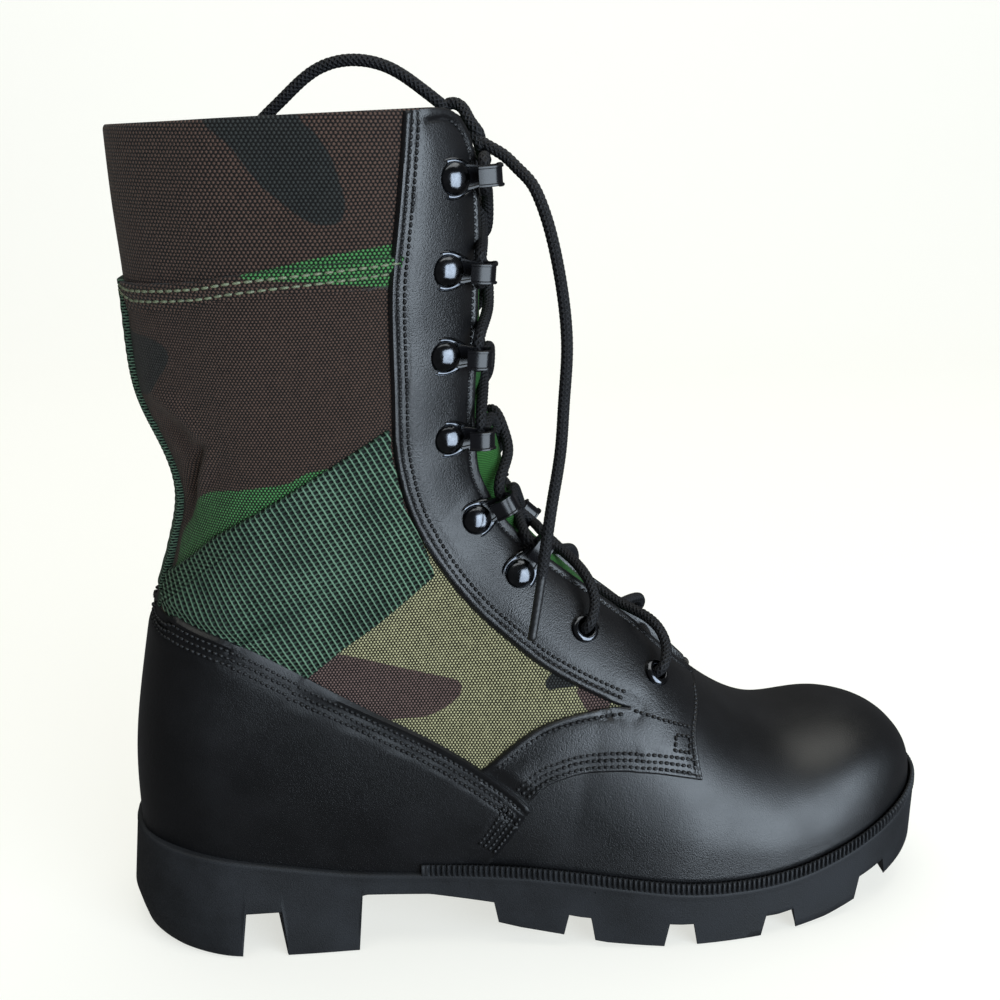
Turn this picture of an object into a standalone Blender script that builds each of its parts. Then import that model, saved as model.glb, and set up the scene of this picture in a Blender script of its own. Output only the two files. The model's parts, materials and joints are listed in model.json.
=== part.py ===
"""A canvas and leather lace-up jungle boot for the right foot.

The boot stands on z = 0 with its toe toward +X and its lateral side toward -Y.
Tables and named sizes are in millimetres; each mesh is scaled to metres once, when it is made.
"""

import bmesh
import bpy
import numpy as np

MM = 0.001

# Plan of the sole: half widths along each side, and how its two ends round off.
HEEL_X = -152.5
TOE_X = 157.0
HEEL_RUN = 46.0
HEEL_POWER = 2.3
TIP_SHIFT = 6.0
SIDES = {
    "lateral": {"sign": -1, "x": [-106.5, -55, 0, 54], "half": [38.5, 41.0, 47.5, 53.0], "power": 2.25},
    "medial": {"sign": 1, "x": [-106.5, -62, -25, 20, 64], "half": [38.5, 36.5, 37.0, 44.0, 51.5], "power": 2.35},
}

# Side view of the sole: columns are x and height.
RIM = [(-157, 42.5), (-128, 39.5), (-108, 36.5), (-88, 33.0), (-67, 30.5), (-44, 30.0), (-7, 29.0), (26, 25.5),
       (55, 22.0), (78, 21.5), (93, 22.5), (122, 28.5), (157, 39.5)]
CEILING = [(-157, 15), (-80, 15), (-66.5, 22), (-43, 21.7), (-21, 18.3), (-5, 15.5), (12, 12.5), (49, 9),
           (87, 8.5), (108, 12), (128, 17), (145, 21.5), (157, 24)]
GROUND = [(-157, 0), (-66, 0), (-50, 12), (-18, 9), (6, 4), (22, 1.6), (43, 0), (81, 0), (95, 3), (121, 11), (136, 15),
          (157, 24)]
LUGS = [(-152.5, -112), (-95.5, -70), (-18, 6), (17.5, 43), (55.5, 80.5), (95, 121), (136, 157)]
CENTRE_LUGS = [(-142, -82), (-8, 14), (26, 48), (64, 86), (102, 126)]
LUG_DRAFT = 0.8
LUG_SLANT = 9.0
TREAD_COLUMNS = [0.27, 0.33, 0.39, 1.0]
HEEL_FLARE = 4.5
HEEL_BEVEL = 4.0
HEEL_RING = 6.0
WALL_RING = 1.5
BED_DROP = 4.5
FIT = 0.3
LIP_GAP = 1.2

RAND_START = -46.0
RAND_HEIGHT = 3.9
RAND_PITCH = 11.0
RAND_RIB = 0.9
RAND_WALL = 1.7

# Each row is one flat cut through the upper, from its lower end (bx, on the feather or the back line) to its
# ridge (tx, tz). lat and med are half widths, wide is where along the cut they lie, low and top are roundness.
CUTS = [
    # bx, tx, tz, lat, med, wide, low, top
    (154.5, 154.5, 75.3, 50.3, 48.5, 0.30, 2.4, 2.3),
    (120.0, 120.0, 69.0, 50.3, 48.5, 0.30, 2.4, 2.3),
    (92.0, 92.0, 68.5, 50.2, 48.5, 0.28, 2.4, 2.2),
    (60.0, 63.0, 86.5, 50.2, 48.0, 0.26, 2.4, 2.1),
    (28.0, 38.5, 111.0, 47.5, 43.5, 0.24, 2.4, 2.1),
    (-12.0, 16.2, 130.6, 44.0, 38.0, 0.24, 2.4, 2.1),
    (-58.0, -1.0, 147.2, 39.0, 35.8, 0.24, 2.4, 2.1),
    (-104.0, -10.3, 160.6, 36.5, 35.5, 0.24, 2.3, 2.1),
    (-134.0, -14.6, 172.0, 35.5, 35.0, 0.25, 2.2, 2.1),
    (-148.5, -16.9, 181.0, 35.0, 34.5, 0.26, 2.2, 2.1),
    (-148.9, -17.9, 189.3, 35.0, 34.5, 0.28, 2.2, 2.1),
    (-147.0, -18.6, 197.3, 35.5, 35.0, 0.30, 2.2, 2.1),
    (-141.8, -19.0, 206.2, 35.5, 35.0, 0.33, 2.2, 2.1),
    (-134.8, -19.2, 216.0, 36.0, 35.5, 0.38, 2.2, 2.1),
    (-129.8, -19.5, 228.0, 37.0, 37.0, 0.42, 2.2, 2.1),
    (-136.3, -19.5, 240.0, 39.0, 39.0, 0.45, 2.3, 2.1),
    (-141.4, -19.3, 251.0, 41.0, 41.0, 0.47, 2.3, 2.1),
    (-142.5, -19.6, 266.0, 42.5, 42.5, 0.48, 2.3, 2.1),
    (-144.0, -21.0, 282.0, 44.0, 44.0, 0.48, 2.3, 2.1),
    (-144.8, -22.7, 298.0, 45.0, 45.0, 0.48, 2.3, 2.1),
]
BACK_HEIGHTS = [56, 80, 110, 143, 170, 193, 212, 240, 266, 292]
HEEL_CUT = 9
COLLAR_CUT = len(CUTS) - 1
RIDGE_X = 88.0
RIDGE_POWER = 2.75
HEEL_MARGIN = 4.0
BALL_MARGIN = 2.6
TOE_MARGIN = 2.5
WALL = 2.2

# The throat: where it starts, and half its width along its length (0 at its foot, 1 at the collar).
THROAT_CUT = 3.05
THROAT_HALF = [(0.0, 8.0), (0.25, 12.0), (0.5, 13.5), (1.0, 14.5)]
THROAT_ROUND = 0.05
CORNER_CUTS = 0.9
CORNER_HALF = 12.0

# Edges of the sewn panels, as x and z on the upper's face, the same on both sides.
EYESTAY_BACK = [(-46.5, 296), (-48.7, 274), (-51.3, 252.5), (-52.6, 235.5), (-52.3, 206), (-52, 186), (-48, 166),
                (-40.5, 148.5), (-32, 135.5), (-22, 124), (-10, 113.5), (1.6, 105), (24.5, 93.5), (31.5, 91)]
BAND_TOP = [(31.5, 91), (19, 90.5), (7.5, 87.5), (-4, 82.5), (-13, 76.8), (-18.5, 70.5)]
BAND_LOW = [(31.5, 69.4), (25.4, 70), (12.5, 69.4), (4.5, 67.2), (-1.4, 65), (-5.6, 61)]
TOE_LOW = [(31.5, 69.4), (41.3, 68), (56, 64.2)]
FACING_FRONT = [(60.1, 86.8), (57.6, 82.7), (54.9, 76.8), (56, 64.2)]
COUNTER_TOP = [(-6.4, 55.8), (-13.8, 63.6), (-32.4, 76.7), (-52, 88), (-72, 99.3), (-90.3, 111.3), (-109, 123),
               (-128.5, 129)]
COUNTER_FRONT = [(-6.4, 55.8), (-12.7, 45.5), (-18.2, 37)]
COUNTER_BACK_CUT = 12.6
COUNTER_FOOT_CUT = 9.3
WEB_LOW = [(-85.5, 111.8), (-71.3, 117), (-59.6, 124.7), (-40, 139.8)]
WEB_TOP = [(-129.5, 146), (-113.4, 159.5), (-96, 169.8), (-75.8, 181.9), (-53.8, 195)]
WEB_REAR = [(-85.5, 112.2), (-109, 126), (-126, 132.5), (-129.5, 146)]
WEB_FRONT = [(-40, 139.8), (-42, 148.5), (-49.4, 166), (-53.4, 186), (-53.8, 195)]
SEAM_TOP = [(-54, 252.3), (-95.5, 248.3), (-112.7, 245.6), (-137, 243.3)]
SEAM_DROP = 9.0
SEAM_BACK_CUT = 17.1
BACKSTAY_HALF = 8.0
BACKSTAY_CUTS = (12.9, 16.6)

LAYER_GAP = 0.7
LEATHER = 1.5
WEBBING = 1.2
SEAM = 0.8

# Lacing hardware on each side, from the foot of the throat upward, as x and z on the face.
EYELETS = [(40.2, 98.8), (13.6, 116.7)]
HOOKS = [(-7.7, 139.5), (-22.4, 159.6), (-31.6, 189), (-32.8, 218.3), (-31.9, 246.7), (-29.8, 275.6)]
HARDWARE_GAP = 0.5
# A hook's strip: columns are forward, out (its middle), turn in degrees, half width, dome height.
HOOK_STRIP = [
    (-4.9, 0.55, 0, 1.6, 0.0),
    (-3.6, 0.55, 0, 3.6, 1.2),
    (-1.6, 0.55, 0, 4.8, 2.4),
    (1.6, 0.55, 0, 4.8, 2.4),
    (4.4, 0.55, 12, 3.6, 0.0),
    (9.1, 3.4, 35, 3.2, 0.0),
    (10.2, 7.4, 125, 3.2, 0.0),
    (6.1, 7.9, 215, 3.2, 0.0),
    (3.6, 6.2, 215, 3.2, 0.0),
]
HOOK_THICK = 1.1
HOOK_CHANNEL = (7.3, 5.3)
EYELET_PROFILE = [(2.7, 1.2), (4.2, 1.2), (5.2, 0.0), (3.3, 0.0), (3.3, -4.2), (2.7, -4.2)]
EYELET_HOLE = 3.6

LACE_R = 2.0
LACE_RISE = 3.5
TONGUE_HALF = [(3.6, 13), (5, 20), (9, 27), (19, 33)]
TONGUE_GAP = 1.8
TONGUE_THICK = 2.0
INSOLE_GAP = 1.8
INSOLE_THICK = 4.0

# Free lace, as points through the air from the knot.
KNOT = [(-16.5, -6, 284), (-14.5, -2, 289), (-17, 3, 294), (-21, 4, 298.5), (-26.4, 0, 299.7), (-24, -5, 300),
        (-19, -7, 295), (-15, -4, 295), (-12, 1, 290), (-12, 4, 285)]
FRONT_END = [(-15.7, -8, 282.5), (-9.5, -14, 280), (-1.8, -20, 268.3), (3.3, -25, 249.4), (5.6, -28, 234),
             (6.2, -31, 220.4), (5, -34, 204.1), (3.6, -37, 187.7), (0.5, -41, 171.2), (-2.4, -45, 154.5),
             (-5.2, -48, 137.2), (-7.2, -50, 125.9)]
INSIDE_END = [(-28.2, -0.6, 301.1), (-40.3, -2, 306.8), (-49.3, 0, 311.3), (-63.9, 3, 313.7), (-74.6, 6, 310.7),
              (-86.6, 9, 301.2), (-94.7, 10, 293.4), (-101, 10, 283), (-106, 8, 268), (-109, 5, 250), (-110, 2, 232)]

COLOURS = {
    # red, green, blue, roughness, metallic
    "rubber": (0.018, 0.02, 0.022, 0.7, 0.0),
    "rand_rubber": (0.016, 0.018, 0.02, 0.65, 0.0),
    "board": (0.1, 0.09, 0.07, 0.9, 0.0),
    "canvas": (0.06, 0.045, 0.035, 0.9, 0.0),
    "tongue_canvas": (0.04, 0.07, 0.035, 0.9, 0.0),
    "leather": (0.014, 0.014, 0.016, 0.45, 0.0),
    "webbing": (0.02, 0.06, 0.035, 0.9, 0.0),
    "hardware": (0.06, 0.06, 0.065, 0.25, 1.0),
    "lace": (0.01, 0.01, 0.011, 0.8, 0.0),
}


def spline(rows, at, flat_ends=False):
    """A cubic through the rows of a table of two columns, with no jump in slope or bend."""
    k, v = np.array(rows, float).T
    h = np.diff(k)
    d = np.diff(v) / h
    n = len(k)
    a, r = np.eye(n), np.zeros(n)
    for i in range(1, n - 1):
        a[i, i - 1:i + 2] = h[i - 1], 2 * (h[i - 1] + h[i]), h[i]
        r[i] = 6 * (d[i] - d[i - 1])
    if flat_ends:
        a[0, :2] = 2 * h[0], h[0]
        r[0] = 6 * d[0]
        a[-1, -2:] = h[-1], 2 * h[-1]
        r[-1] = -6 * d[-1]
    m = np.linalg.solve(a, r)
    at = np.asarray(at, float)
    i = np.clip(np.searchsorted(k, at) - 1, 0, n - 2)
    p, q = (k[i + 1] - at) / h[i], (at - k[i]) / h[i]
    return p * v[i] + q * v[i + 1] + ((p**3 - p) * m[i] + (q**3 - q) * m[i + 1]) * h[i] ** 2 / 6


def broken_line(rows, at):
    """Straight stretches between the rows of a table of two columns."""
    k, v = np.array(rows, float).T
    return np.interp(at, k, v)


def round_end(u, power):
    """1 at u = 0, falling to 0 at u = 1 along a superellipse."""
    return np.clip(1 - np.clip(u, 0, 1) ** power, 0, 1) ** (1 / power)


def ease(u):
    """0 below u = 0, 1 above u = 1, and level at both."""
    u = np.clip(u, 0, 1)
    return u * u * (3 - 2 * u)


def centre(x):
    """The plan's centre line, which leans to the medial side at the toe."""
    return TIP_SHIFT * ease((np.asarray(x, float) - 40) / (TOE_X - 40))


def rim(x):
    return spline(RIM, x)


def bed(x):
    """Height of the ledge inside the sole's lip, where the upper stands."""
    return rim(x) - BED_DROP


def margin(x):
    """How far the upper's foot stands inside the sole's outline."""
    return HEEL_MARGIN + (BALL_MARGIN - HEEL_MARGIN) * ease((np.asarray(x, float) + 30) / 40)


def half_width(x, side, inset, heel_inset, toe_inset):
    """Half width of the plan at x, drawn in by inset along the sides and by its own amount at each end."""
    rows = SIDES[side]
    x = np.asarray(x, float)
    first, last = rows["x"][0], rows["x"][-1]
    y = spline(np.stack([rows["x"], rows["half"]], 1), np.clip(x, first, last), True) - inset
    y = y * round_end((first - x) / (HEEL_RUN - heel_inset), HEEL_POWER)
    return y * round_end((x - last) / (TOE_X - toe_inset - last), rows["power"])


def plan_point(x, side, inset, heel_inset, toe_inset, share=1.0):
    """x and y of the plan's edge at station x, drawn in, or of a share of the way out to it."""
    moved = x + heel_inset * (1 - ease((x - HEEL_X) / HEEL_RUN)) - toe_inset * ease((x - TOE_X + 40) / 40)
    y = half_width(moved, side, inset, heel_inset, toe_inset)
    return moved, centre(moved) + SIDES[side]["sign"] * share * np.maximum(y, 0)


def cut_value(column, s):
    rows = [(i, row[column]) for i, row in enumerate(CUTS)]
    return spline(rows, s)


def lower_line(s, inset=0.0):
    """Lower end of cut s: on the feather as far as the heel, and up the back line after it."""
    s = np.asarray(s, float)
    feather = [(i, row[0]) for i, row in enumerate(CUTS[:HEEL_CUT + 1])]
    back = [(HEEL_CUT + i, row[0]) for i, row in enumerate(CUTS[HEEL_CUT:])]
    heights = [(HEEL_CUT + i, z) for i, z in enumerate([bed(CUTS[HEEL_CUT][0]) + FIT] + BACK_HEIGHTS)]
    on_foot = s <= HEEL_CUT
    x = np.where(on_foot, spline(feather, np.minimum(s, HEEL_CUT)), spline(back, np.maximum(s, HEEL_CUT)))
    z = np.where(on_foot, bed(x) + FIT, spline(heights, np.maximum(s, HEEL_CUT)))
    return x - inset * (1 - ease(s / 2)) + inset * ease((s - 7) / 2), z


def ridge_line(s, inset=0.0):
    """Upper end of cut s, moved inward square to the ridge."""
    step = 0.02
    dx = cut_value(1, s + step) - cut_value(1, s - step)
    dz = cut_value(2, s + step) - cut_value(2, s - step)
    size = np.hypot(dx, dz)
    return cut_value(1, s) - inset * dz / size, cut_value(2, s) + inset * dx / size


def cut_ends(s, inset=0.0):
    """Both ends of cut s, with the ridge rounded down to the feather at the toe."""
    bx, bz = lower_line(s, inset)
    tx, tz = ridge_line(s, inset)
    tip = TOE_X - TOE_MARGIN - inset
    lift = round_end((bx - RIDGE_X) / (tip - RIDGE_X), RIDGE_POWER)
    return bx, bz, bx + (tx - bx) * lift, bz + (tz - bz) * lift


def upper_face(s, t, side, inset=0.0):
    """A point of the upper's face: s runs from toe to collar, t from the lower line (0) up to the ridge (1)."""
    s, t = np.broadcast_arrays(np.asarray(s, float), np.asarray(t, float))
    sign = SIDES[side]["sign"]
    bx, bz, tx, tz = cut_ends(s, inset)
    tip = TOE_X - TOE_MARGIN - inset
    foot = half_width(bx, side, margin(bx) + inset, HEEL_MARGIN + inset, TOE_MARGIN + inset)
    foot = np.where(s <= HEEL_CUT, np.maximum(foot, 0), 0.0)
    ball = SIDES[side]["x"][-1]
    half = (cut_value(3 if sign < 0 else 4, s) - inset) * round_end((bx - ball) / (tip - ball), SIDES[side]["power"])
    half = np.maximum(np.maximum(half, foot), 1e-6)
    wide, low, top = cut_value(5, s), cut_value(6, s), cut_value(7, s)
    a = np.clip(2 * t, 0, 1) * np.pi / 2
    b = np.clip(2 * t - 1, 0, 1) * np.pi / 2
    cos_a, cos_b = np.maximum(np.cos(a), 0), np.maximum(np.cos(b), 0)
    under = t < 0.5
    up = np.where(under, wide * (1 - cos_a ** (2 / low)), wide + (1 - wide) * np.sin(b) ** (2 / top))
    upright = foot / half
    swell = upright * ease(up / wide) + (1 - upright) * np.sin(a) ** (2 / low)
    out = np.where(under, foot + (half - foot) * swell, half * cos_b ** (2 / top))
    x = bx + (tx - bx) * up
    return np.stack([x, centre(x) + sign * out, bz + (tz - bz) * up], -1)


def throat_half(s):
    """Half the throat's width at cut s, round at its foot and flared at the collar's corner."""
    s = np.asarray(s, float)
    u = np.clip((s - THROAT_CUT) / (COLLAR_CUT - THROAT_CUT), 0, 1)
    foot = np.sqrt(1 - (1 - np.clip(u / THROAT_ROUND, 0, 1)) ** 2)
    corner = 1 - np.sqrt(1 - np.clip((s - COLLAR_CUT + CORNER_CUTS) / CORNER_CUTS, 0, 1) ** 2)
    return spline(THROAT_HALF, u) * foot + CORNER_HALF * corner


def ridge_t(s, side, away):
    """The t of cut s that lies this far from the ridge, measured across."""
    half = cut_value(3 if side == "lateral" else 4, s)
    return 0.5 + np.arccos(np.clip(away / half, 0, 1) ** (cut_value(7, s) / 2)) / np.pi


def throat_t(s, side):
    return ridge_t(s, side, throat_half(s))


def back_t(s, side, away):
    """The t of cut s, above the heel, that lies this far from the back line."""
    half = cut_value(3 if side == "lateral" else 4, s)
    return np.arcsin((away / half) ** (cut_value(6, s) / 2)) / np.pi


def on_cut(x, z):
    """The s and t of a face point given by its x and z: cuts are straight in side view."""
    s = np.linspace(0.05, COLLAR_CUT, 2000)
    bx, bz, tx, tz = cut_ends(s)
    across = (x - bx) * (tz - bz) - (z - bz) * (tx - bx)
    along = ((x - bx) * (tx - bx) + (z - bz) * (tz - bz)) / ((tx - bx) ** 2 + (tz - bz) ** 2)
    size = np.hypot(tx - bx, tz - bz)
    best = np.argmin(np.abs(across) / size + 1e3 * ((along < -0.02) | (along > 1.02)))
    s, up = s[best], np.clip(along[best], 0, 1)
    wide, low, top = cut_value(5, s), cut_value(6, s), cut_value(7, s)
    if up < wide:
        return s, np.arccos((1 - up / wide) ** (low / 2)) / np.pi
    return s, 0.5 + np.arcsin(((up - wide) / (1 - wide)) ** (top / 2)) / np.pi


def face_line(rows):
    """A table of x and z, joined by straight lines in side view, as a fine array of s and t."""
    rows = np.array(rows, float)
    at = np.linspace(0, len(rows) - 1, 6 * (len(rows) - 1) + 1)
    x, z = (np.interp(at, np.arange(len(rows)), column) for column in rows.T)
    return np.array([on_cut(*spot) for spot in zip(x, z)])


def spread(line, count):
    """count + 1 points evenly along a line of s and t."""
    line = np.asarray(line, float)
    steps = np.linalg.norm(np.diff(line, axis=0) * [1.0, 8.0], axis=1)
    length = np.concatenate([[0], np.cumsum(steps)])
    at = np.linspace(0, length[-1], count + 1)
    return np.stack([np.interp(at, length, line[:, 0]), np.interp(at, length, line[:, 1])], 1)


def fill(low, top, left, right):
    """A grid of s and t that blends four border lines, each given as points."""
    u = np.linspace(0, 1, len(low))[:, None, None]
    v = np.linspace(0, 1, len(left))[None, :, None]
    along = (1 - v) * low[:, None] + v * top[:, None]
    across = (1 - u) * left[None] + u * right[None]
    corners = (1 - u) * ((1 - v) * low[0] + v * top[0]) + u * ((1 - v) * low[-1] + v * top[-1])
    return along + across - corners


def straight(a, b, count):
    return np.linspace(a, b, count + 1)


def grid_faces(rows, columns, start=0, loop=False):
    """Quads of a grid of points, with its last column joined to its first for a loop."""
    i = np.arange(rows - 1)[:, None]
    j = np.arange(columns if loop else columns - 1)[None, :]
    k = (j + 1) % columns
    quads = np.stack(np.broadcast_arrays(i * columns + j, (i + 1) * columns + j, (i + 1) * columns + k, i * columns + k), -1)
    return quads.reshape(-1, 4) + start


def material(name):
    red, green, blue, roughness, metallic = COLOURS[name]
    made = bpy.data.materials.new(name)
    made.use_nodes = True
    shader = made.node_tree.nodes["Principled BSDF"]
    shader.inputs["Base Color"].default_value = (red, green, blue, 1)
    shader.inputs["Roughness"].default_value = roughness
    shader.inputs["Metallic"].default_value = metallic
    made.diffuse_color = (red, green, blue, 1)
    return made


def add(name, data, surface, parent):
    made = bpy.data.objects.new(name, data)
    bpy.context.scene.collection.objects.link(made)
    data.materials.append(surface)
    made.parent = parent
    return made


def welded(points, faces):
    """Points that coincide made one, and faces without the corners that this folds together."""
    _, first, index = np.unique(np.round(points, 3), axis=0, return_index=True, return_inverse=True)
    index = index.reshape(-1)
    kept = []
    for face in faces:
        ring = [int(index[i]) for i in face]
        ring = [v for i, v in enumerate(ring) if v != ring[i - 1]]
        if len(ring) > 2:
            kept.append(ring)
    return first, kept


def solid(name, points, faces, surface, parent):
    """A closed mesh from points in millimetres, with its faces turned outward."""
    points = np.asarray(points, float)
    first, faces = welded(points, faces)
    mesh = bpy.data.meshes.new(name)
    mesh.from_pydata((points[first] * MM).tolist(), [], faces)
    shape = bmesh.new()
    shape.from_mesh(mesh)
    bmesh.ops.recalc_face_normals(shape, faces=shape.faces[:])
    shape.to_mesh(mesh)
    shape.free()
    return add(name, mesh, surface, parent)


def shell(name, patches, outer, inner, surface, parent):
    """A sheet of the upper's own shape, from grids of s and t, between two insets of the face."""
    outside, inside, faces = [], [], []
    for side, grid in patches:
        start = sum(len(p) for p in outside)
        s, t = grid[..., 0], grid[..., 1]
        outside.append(upper_face(s, t, side, outer).reshape(-1, 3))
        inside.append(upper_face(s, t, side, inner).reshape(-1, 3))
        faces.append(grid_faces(*grid.shape[:2], start))
    outside, inside = np.concatenate(outside), np.concatenate(inside)
    first, faces = welded(outside, np.concatenate(faces))
    outside, inside = outside[first], inside[first]
    count = len(outside)
    uses = {}
    for face in faces:
        for a, b in zip(face, face[1:] + face[:1]):
            uses.setdefault((min(a, b), max(a, b)), []).append((a, b))
    walls = [(a, b, b + count, a + count) for edges in uses.values() if len(edges) == 1 for a, b in edges]
    back = [[v + count for v in face[::-1]] for face in faces]
    return solid(name, np.concatenate([outside, inside]), faces + walls + back, surface, parent)


def both_sides(grid_of):
    return [(side, grid_of(side)) for side in SIDES]


def wall_inset(x, z):
    """How far the sole's wall stands in from its rim's outline; the heel's wall flares toward the floor."""
    flare = HEEL_FLARE * (1 - ease((x + 95) / 70))
    return -flare * (1 - z / rim(x))


def heel_part(x):
    return 1 - ease((x - HEEL_X) / HEEL_RUN)


def tread_stations():
    """x of the sole's rows: both sides of each lug's edge, and close together where the ends round off."""
    heel = HEEL_X + HEEL_RUN * (1 - np.cos(np.linspace(0, 1.3, 9)))
    toe = TOE_X - 60 * (1 - np.cos(np.linspace(0, 1.35, 9)))
    edges = [x for a, b in LUGS[1:-1] + CENTRE_LUGS for x in (a - LUG_DRAFT, a, b, b + LUG_DRAFT)]
    edges += [LUGS[0][1], LUGS[0][1] + LUG_DRAFT, LUGS[-1][0] - LUG_DRAFT, LUGS[-1][0]]
    fill_in = [-66.5, -55, -43, -31]
    every = np.unique(np.round(np.concatenate([heel, toe, edges, fill_in]), 2))
    keep = np.concatenate([[True], np.diff(every) > 0.3])
    return every[keep]


def within(x, spans):
    return np.any([(x >= a - 0.01) & (x <= b + 0.01) for a, b in spans], axis=0)


def build_outsole(surface, parent):
    """A cupped slab whose underside steps between lugs and grooves, in rows along x and columns across."""
    x = tread_stations()
    ceiling, ground = broken_line(CEILING, x), broken_line(GROUND, x)
    slant = LUG_SLANT * ease((x + 40) / 25) * (1 - ease((x - 112) / 30))
    shares = [-v for v in TREAD_COLUMNS[::-1]] + TREAD_COLUMNS
    columns = []
    for share in shares:
        side = "lateral" if share < 0 else "medial"
        away = abs(share)
        raised = within(x, CENTRE_LUGS) if away < 0.3 else within(x, LUGS) & (away > 0.35)
        z = np.where(raised, ground, ceiling)
        inset = wall_inset(x, z) + np.where(raised, HEEL_BEVEL * heel_part(x), 0)
        ends = wall_inset(HEEL_X, z[0]) + (HEEL_BEVEL if raised[0] else 0)
        px, py = plan_point(x, side, inset, ends, 0.0, away)
        columns.append(np.stack([px + slant * (1 - away), py, z], -1))
    loops = [columns[0], columns[-1]]
    points, faces = [np.stack(columns, 1).reshape(-1, 3)], [grid_faces(len(x), len(columns))]
    for side, edge in zip(SIDES, loops):
        z = ceiling + WALL_RING + (HEEL_RING - ceiling - WALL_RING) * heel_part(x)
        middle = np.stack([*plan_point(x, side, wall_inset(x, z), wall_inset(HEEL_X, z[0]), 0.0), z], -1)
        lip = margin(x) - LIP_GAP
        top = np.stack([*plan_point(x, side, 0.0, 0.0, 0.0), rim(x)], -1)
        inner = plan_point(x, side, lip, lip[0], RAND_WALL)
        ledge = np.stack([*inner, rim(inner[0])], -1)
        floor = np.stack([*inner, bed(inner[0])], -1)
        start = sum(len(p) for p in points)
        points.append(np.stack([edge, middle, top, ledge, floor], 1).reshape(-1, 3))
        faces.append(grid_faces(len(x), 5, start))
    start = sum(len(p) for p in points)
    floors = [p.reshape(len(x), 5, 3)[:, 4] for p in points[1:]]
    points.append(np.stack(floors, 1).reshape(-1, 3))
    faces.append(grid_faces(len(x), 2, start))
    return solid("outsole", np.concatenate(points), np.concatenate(faces), surface, parent)


def edge_walk(x_start, step):
    """Stations (x, side) evenly spaced along the plan's edge, from the lateral side round the toe."""
    u = np.linspace(0, 1, 600)
    x = x_start + (TOE_X - x_start) * np.sin(u * np.pi / 2)
    walk = []
    for side in SIDES:
        px, py = plan_point(x, side, 0.0, 0.0, 0.0)
        length = np.concatenate([[0], np.cumsum(np.hypot(np.diff(px), np.diff(py)))])
        count = int(length[-1] / step)
        at = np.interp(np.linspace(0, length[-1], count + 1), length, x)
        walk.append([(v, side) for v in at])
    return walk[0] + walk[1][::-1][1:]


def build_rand(surface, parent):
    """A strip round the front with upright ribs: every second station is drawn in."""
    rings = []
    for i, (x, side) in enumerate(edge_walk(RAND_START, RAND_PITCH / 2)):
        x = np.array(x)
        low, high = rim(x) + FIT, rim(x) + RAND_HEIGHT
        rib = RAND_RIB * (i % 2)
        corners = [(rib, low), (rib + 0.3, high), (RAND_WALL, high), (RAND_WALL, low)]
        rings.append([[*plan_point(x, side, inset, 0.0, inset), z] for inset, z in corners])
    rings = np.array(rings, float)
    faces = grid_faces(len(rings), 4, 0, True).tolist()
    last = 4 * (len(rings) - 1)
    faces += [[0, 1, 2, 3], [last, last + 1, last + 2, last + 3]]
    return solid("ribbed_rand", rings.reshape(-1, 3), faces, surface, parent)


def build_insole(surface, parent):
    x = HEEL_X + (TOE_X - HEEL_X) * (1 - np.cos(np.linspace(0, np.pi, 25))) / 2
    edge = WALL + INSOLE_GAP
    rows = []
    for side in SIDES:
        px, py = plan_point(x, side, margin(x) + edge, HEEL_MARGIN + edge, TOE_MARGIN + edge)
        rows.append((np.stack([px, py, bed(px) + FIT], -1), np.stack([px, py, bed(px) + FIT + INSOLE_THICK], -1)))
    ring = np.stack([rows[0][0], rows[0][1], rows[1][1], rows[1][0]], 1)
    return solid("insole", ring.reshape(-1, 3), grid_faces(len(x), 4, 0, True), surface, parent)


def upper_rows():
    toe = np.linspace(0, 1, 9) ** 2
    foot = np.linspace(1.4, THROAT_CUT, 5)
    throat = THROAT_CUT + np.array([0.08, 0.3, 0.75, 1.3])
    shaft = np.concatenate([np.linspace(5, 12, 10), np.linspace(12.5, 16, 8), np.linspace(16.7, COLLAR_CUT - 1, 3)])
    return np.concatenate([toe, foot, throat, shaft, COLLAR_CUT - np.array([0.6, 0.3, 0.1, 0.0])])


def upper_grid(side):
    s = upper_rows()
    t = np.linspace(0, 1, 10)[None, :] * throat_t(s, side)[:, None]
    return np.stack([np.broadcast_to(s[:, None], t.shape), t], -1)


def tongue_grid(side):
    s = np.linspace(TONGUE_HALF[0][0], COLLAR_CUT, 19)
    t = ridge_t(s, side, spline(TONGUE_HALF, s))
    t = t[:, None] + (1 - t[:, None]) * np.linspace(0, 1, 4)[None, :]
    return np.stack([np.broadcast_to(s[:, None], t.shape), t], -1)


def lip_t(s, side):
    """The t where cut s rises out of the sole's lip; 0 above the heel."""
    t = np.linspace(0, 0.4, 200)
    x, _, z = upper_face(s, t, side, -LAYER_GAP).T
    strip = np.where(x > RAND_START - 9, RAND_HEIGHT, 0.0)
    clear = z > rim(x) + strip + 3 * FIT
    return t[np.argmax(clear)]


def counter_grid(side):
    """From the lip to the top edge, and from the front edge to the back line."""
    top = np.vstack([face_line(COUNTER_TOP), [(COUNTER_BACK_CUT, 0.0)]])
    foot = np.concatenate([np.linspace(5.36, 8.9, 24), [9.1, 9.2]])
    low = np.array([(s, lip_t(s, side)) for s in foot] + [(COUNTER_FOOT_CUT, 0.0)])
    front = np.vstack([low[:1], face_line(COUNTER_FRONT)[::-1]])
    around, upward = 18, 6
    return fill(spread(low, around), spread(top, around), spread(front, upward), straight(low[-1], top[-1], upward))


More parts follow.
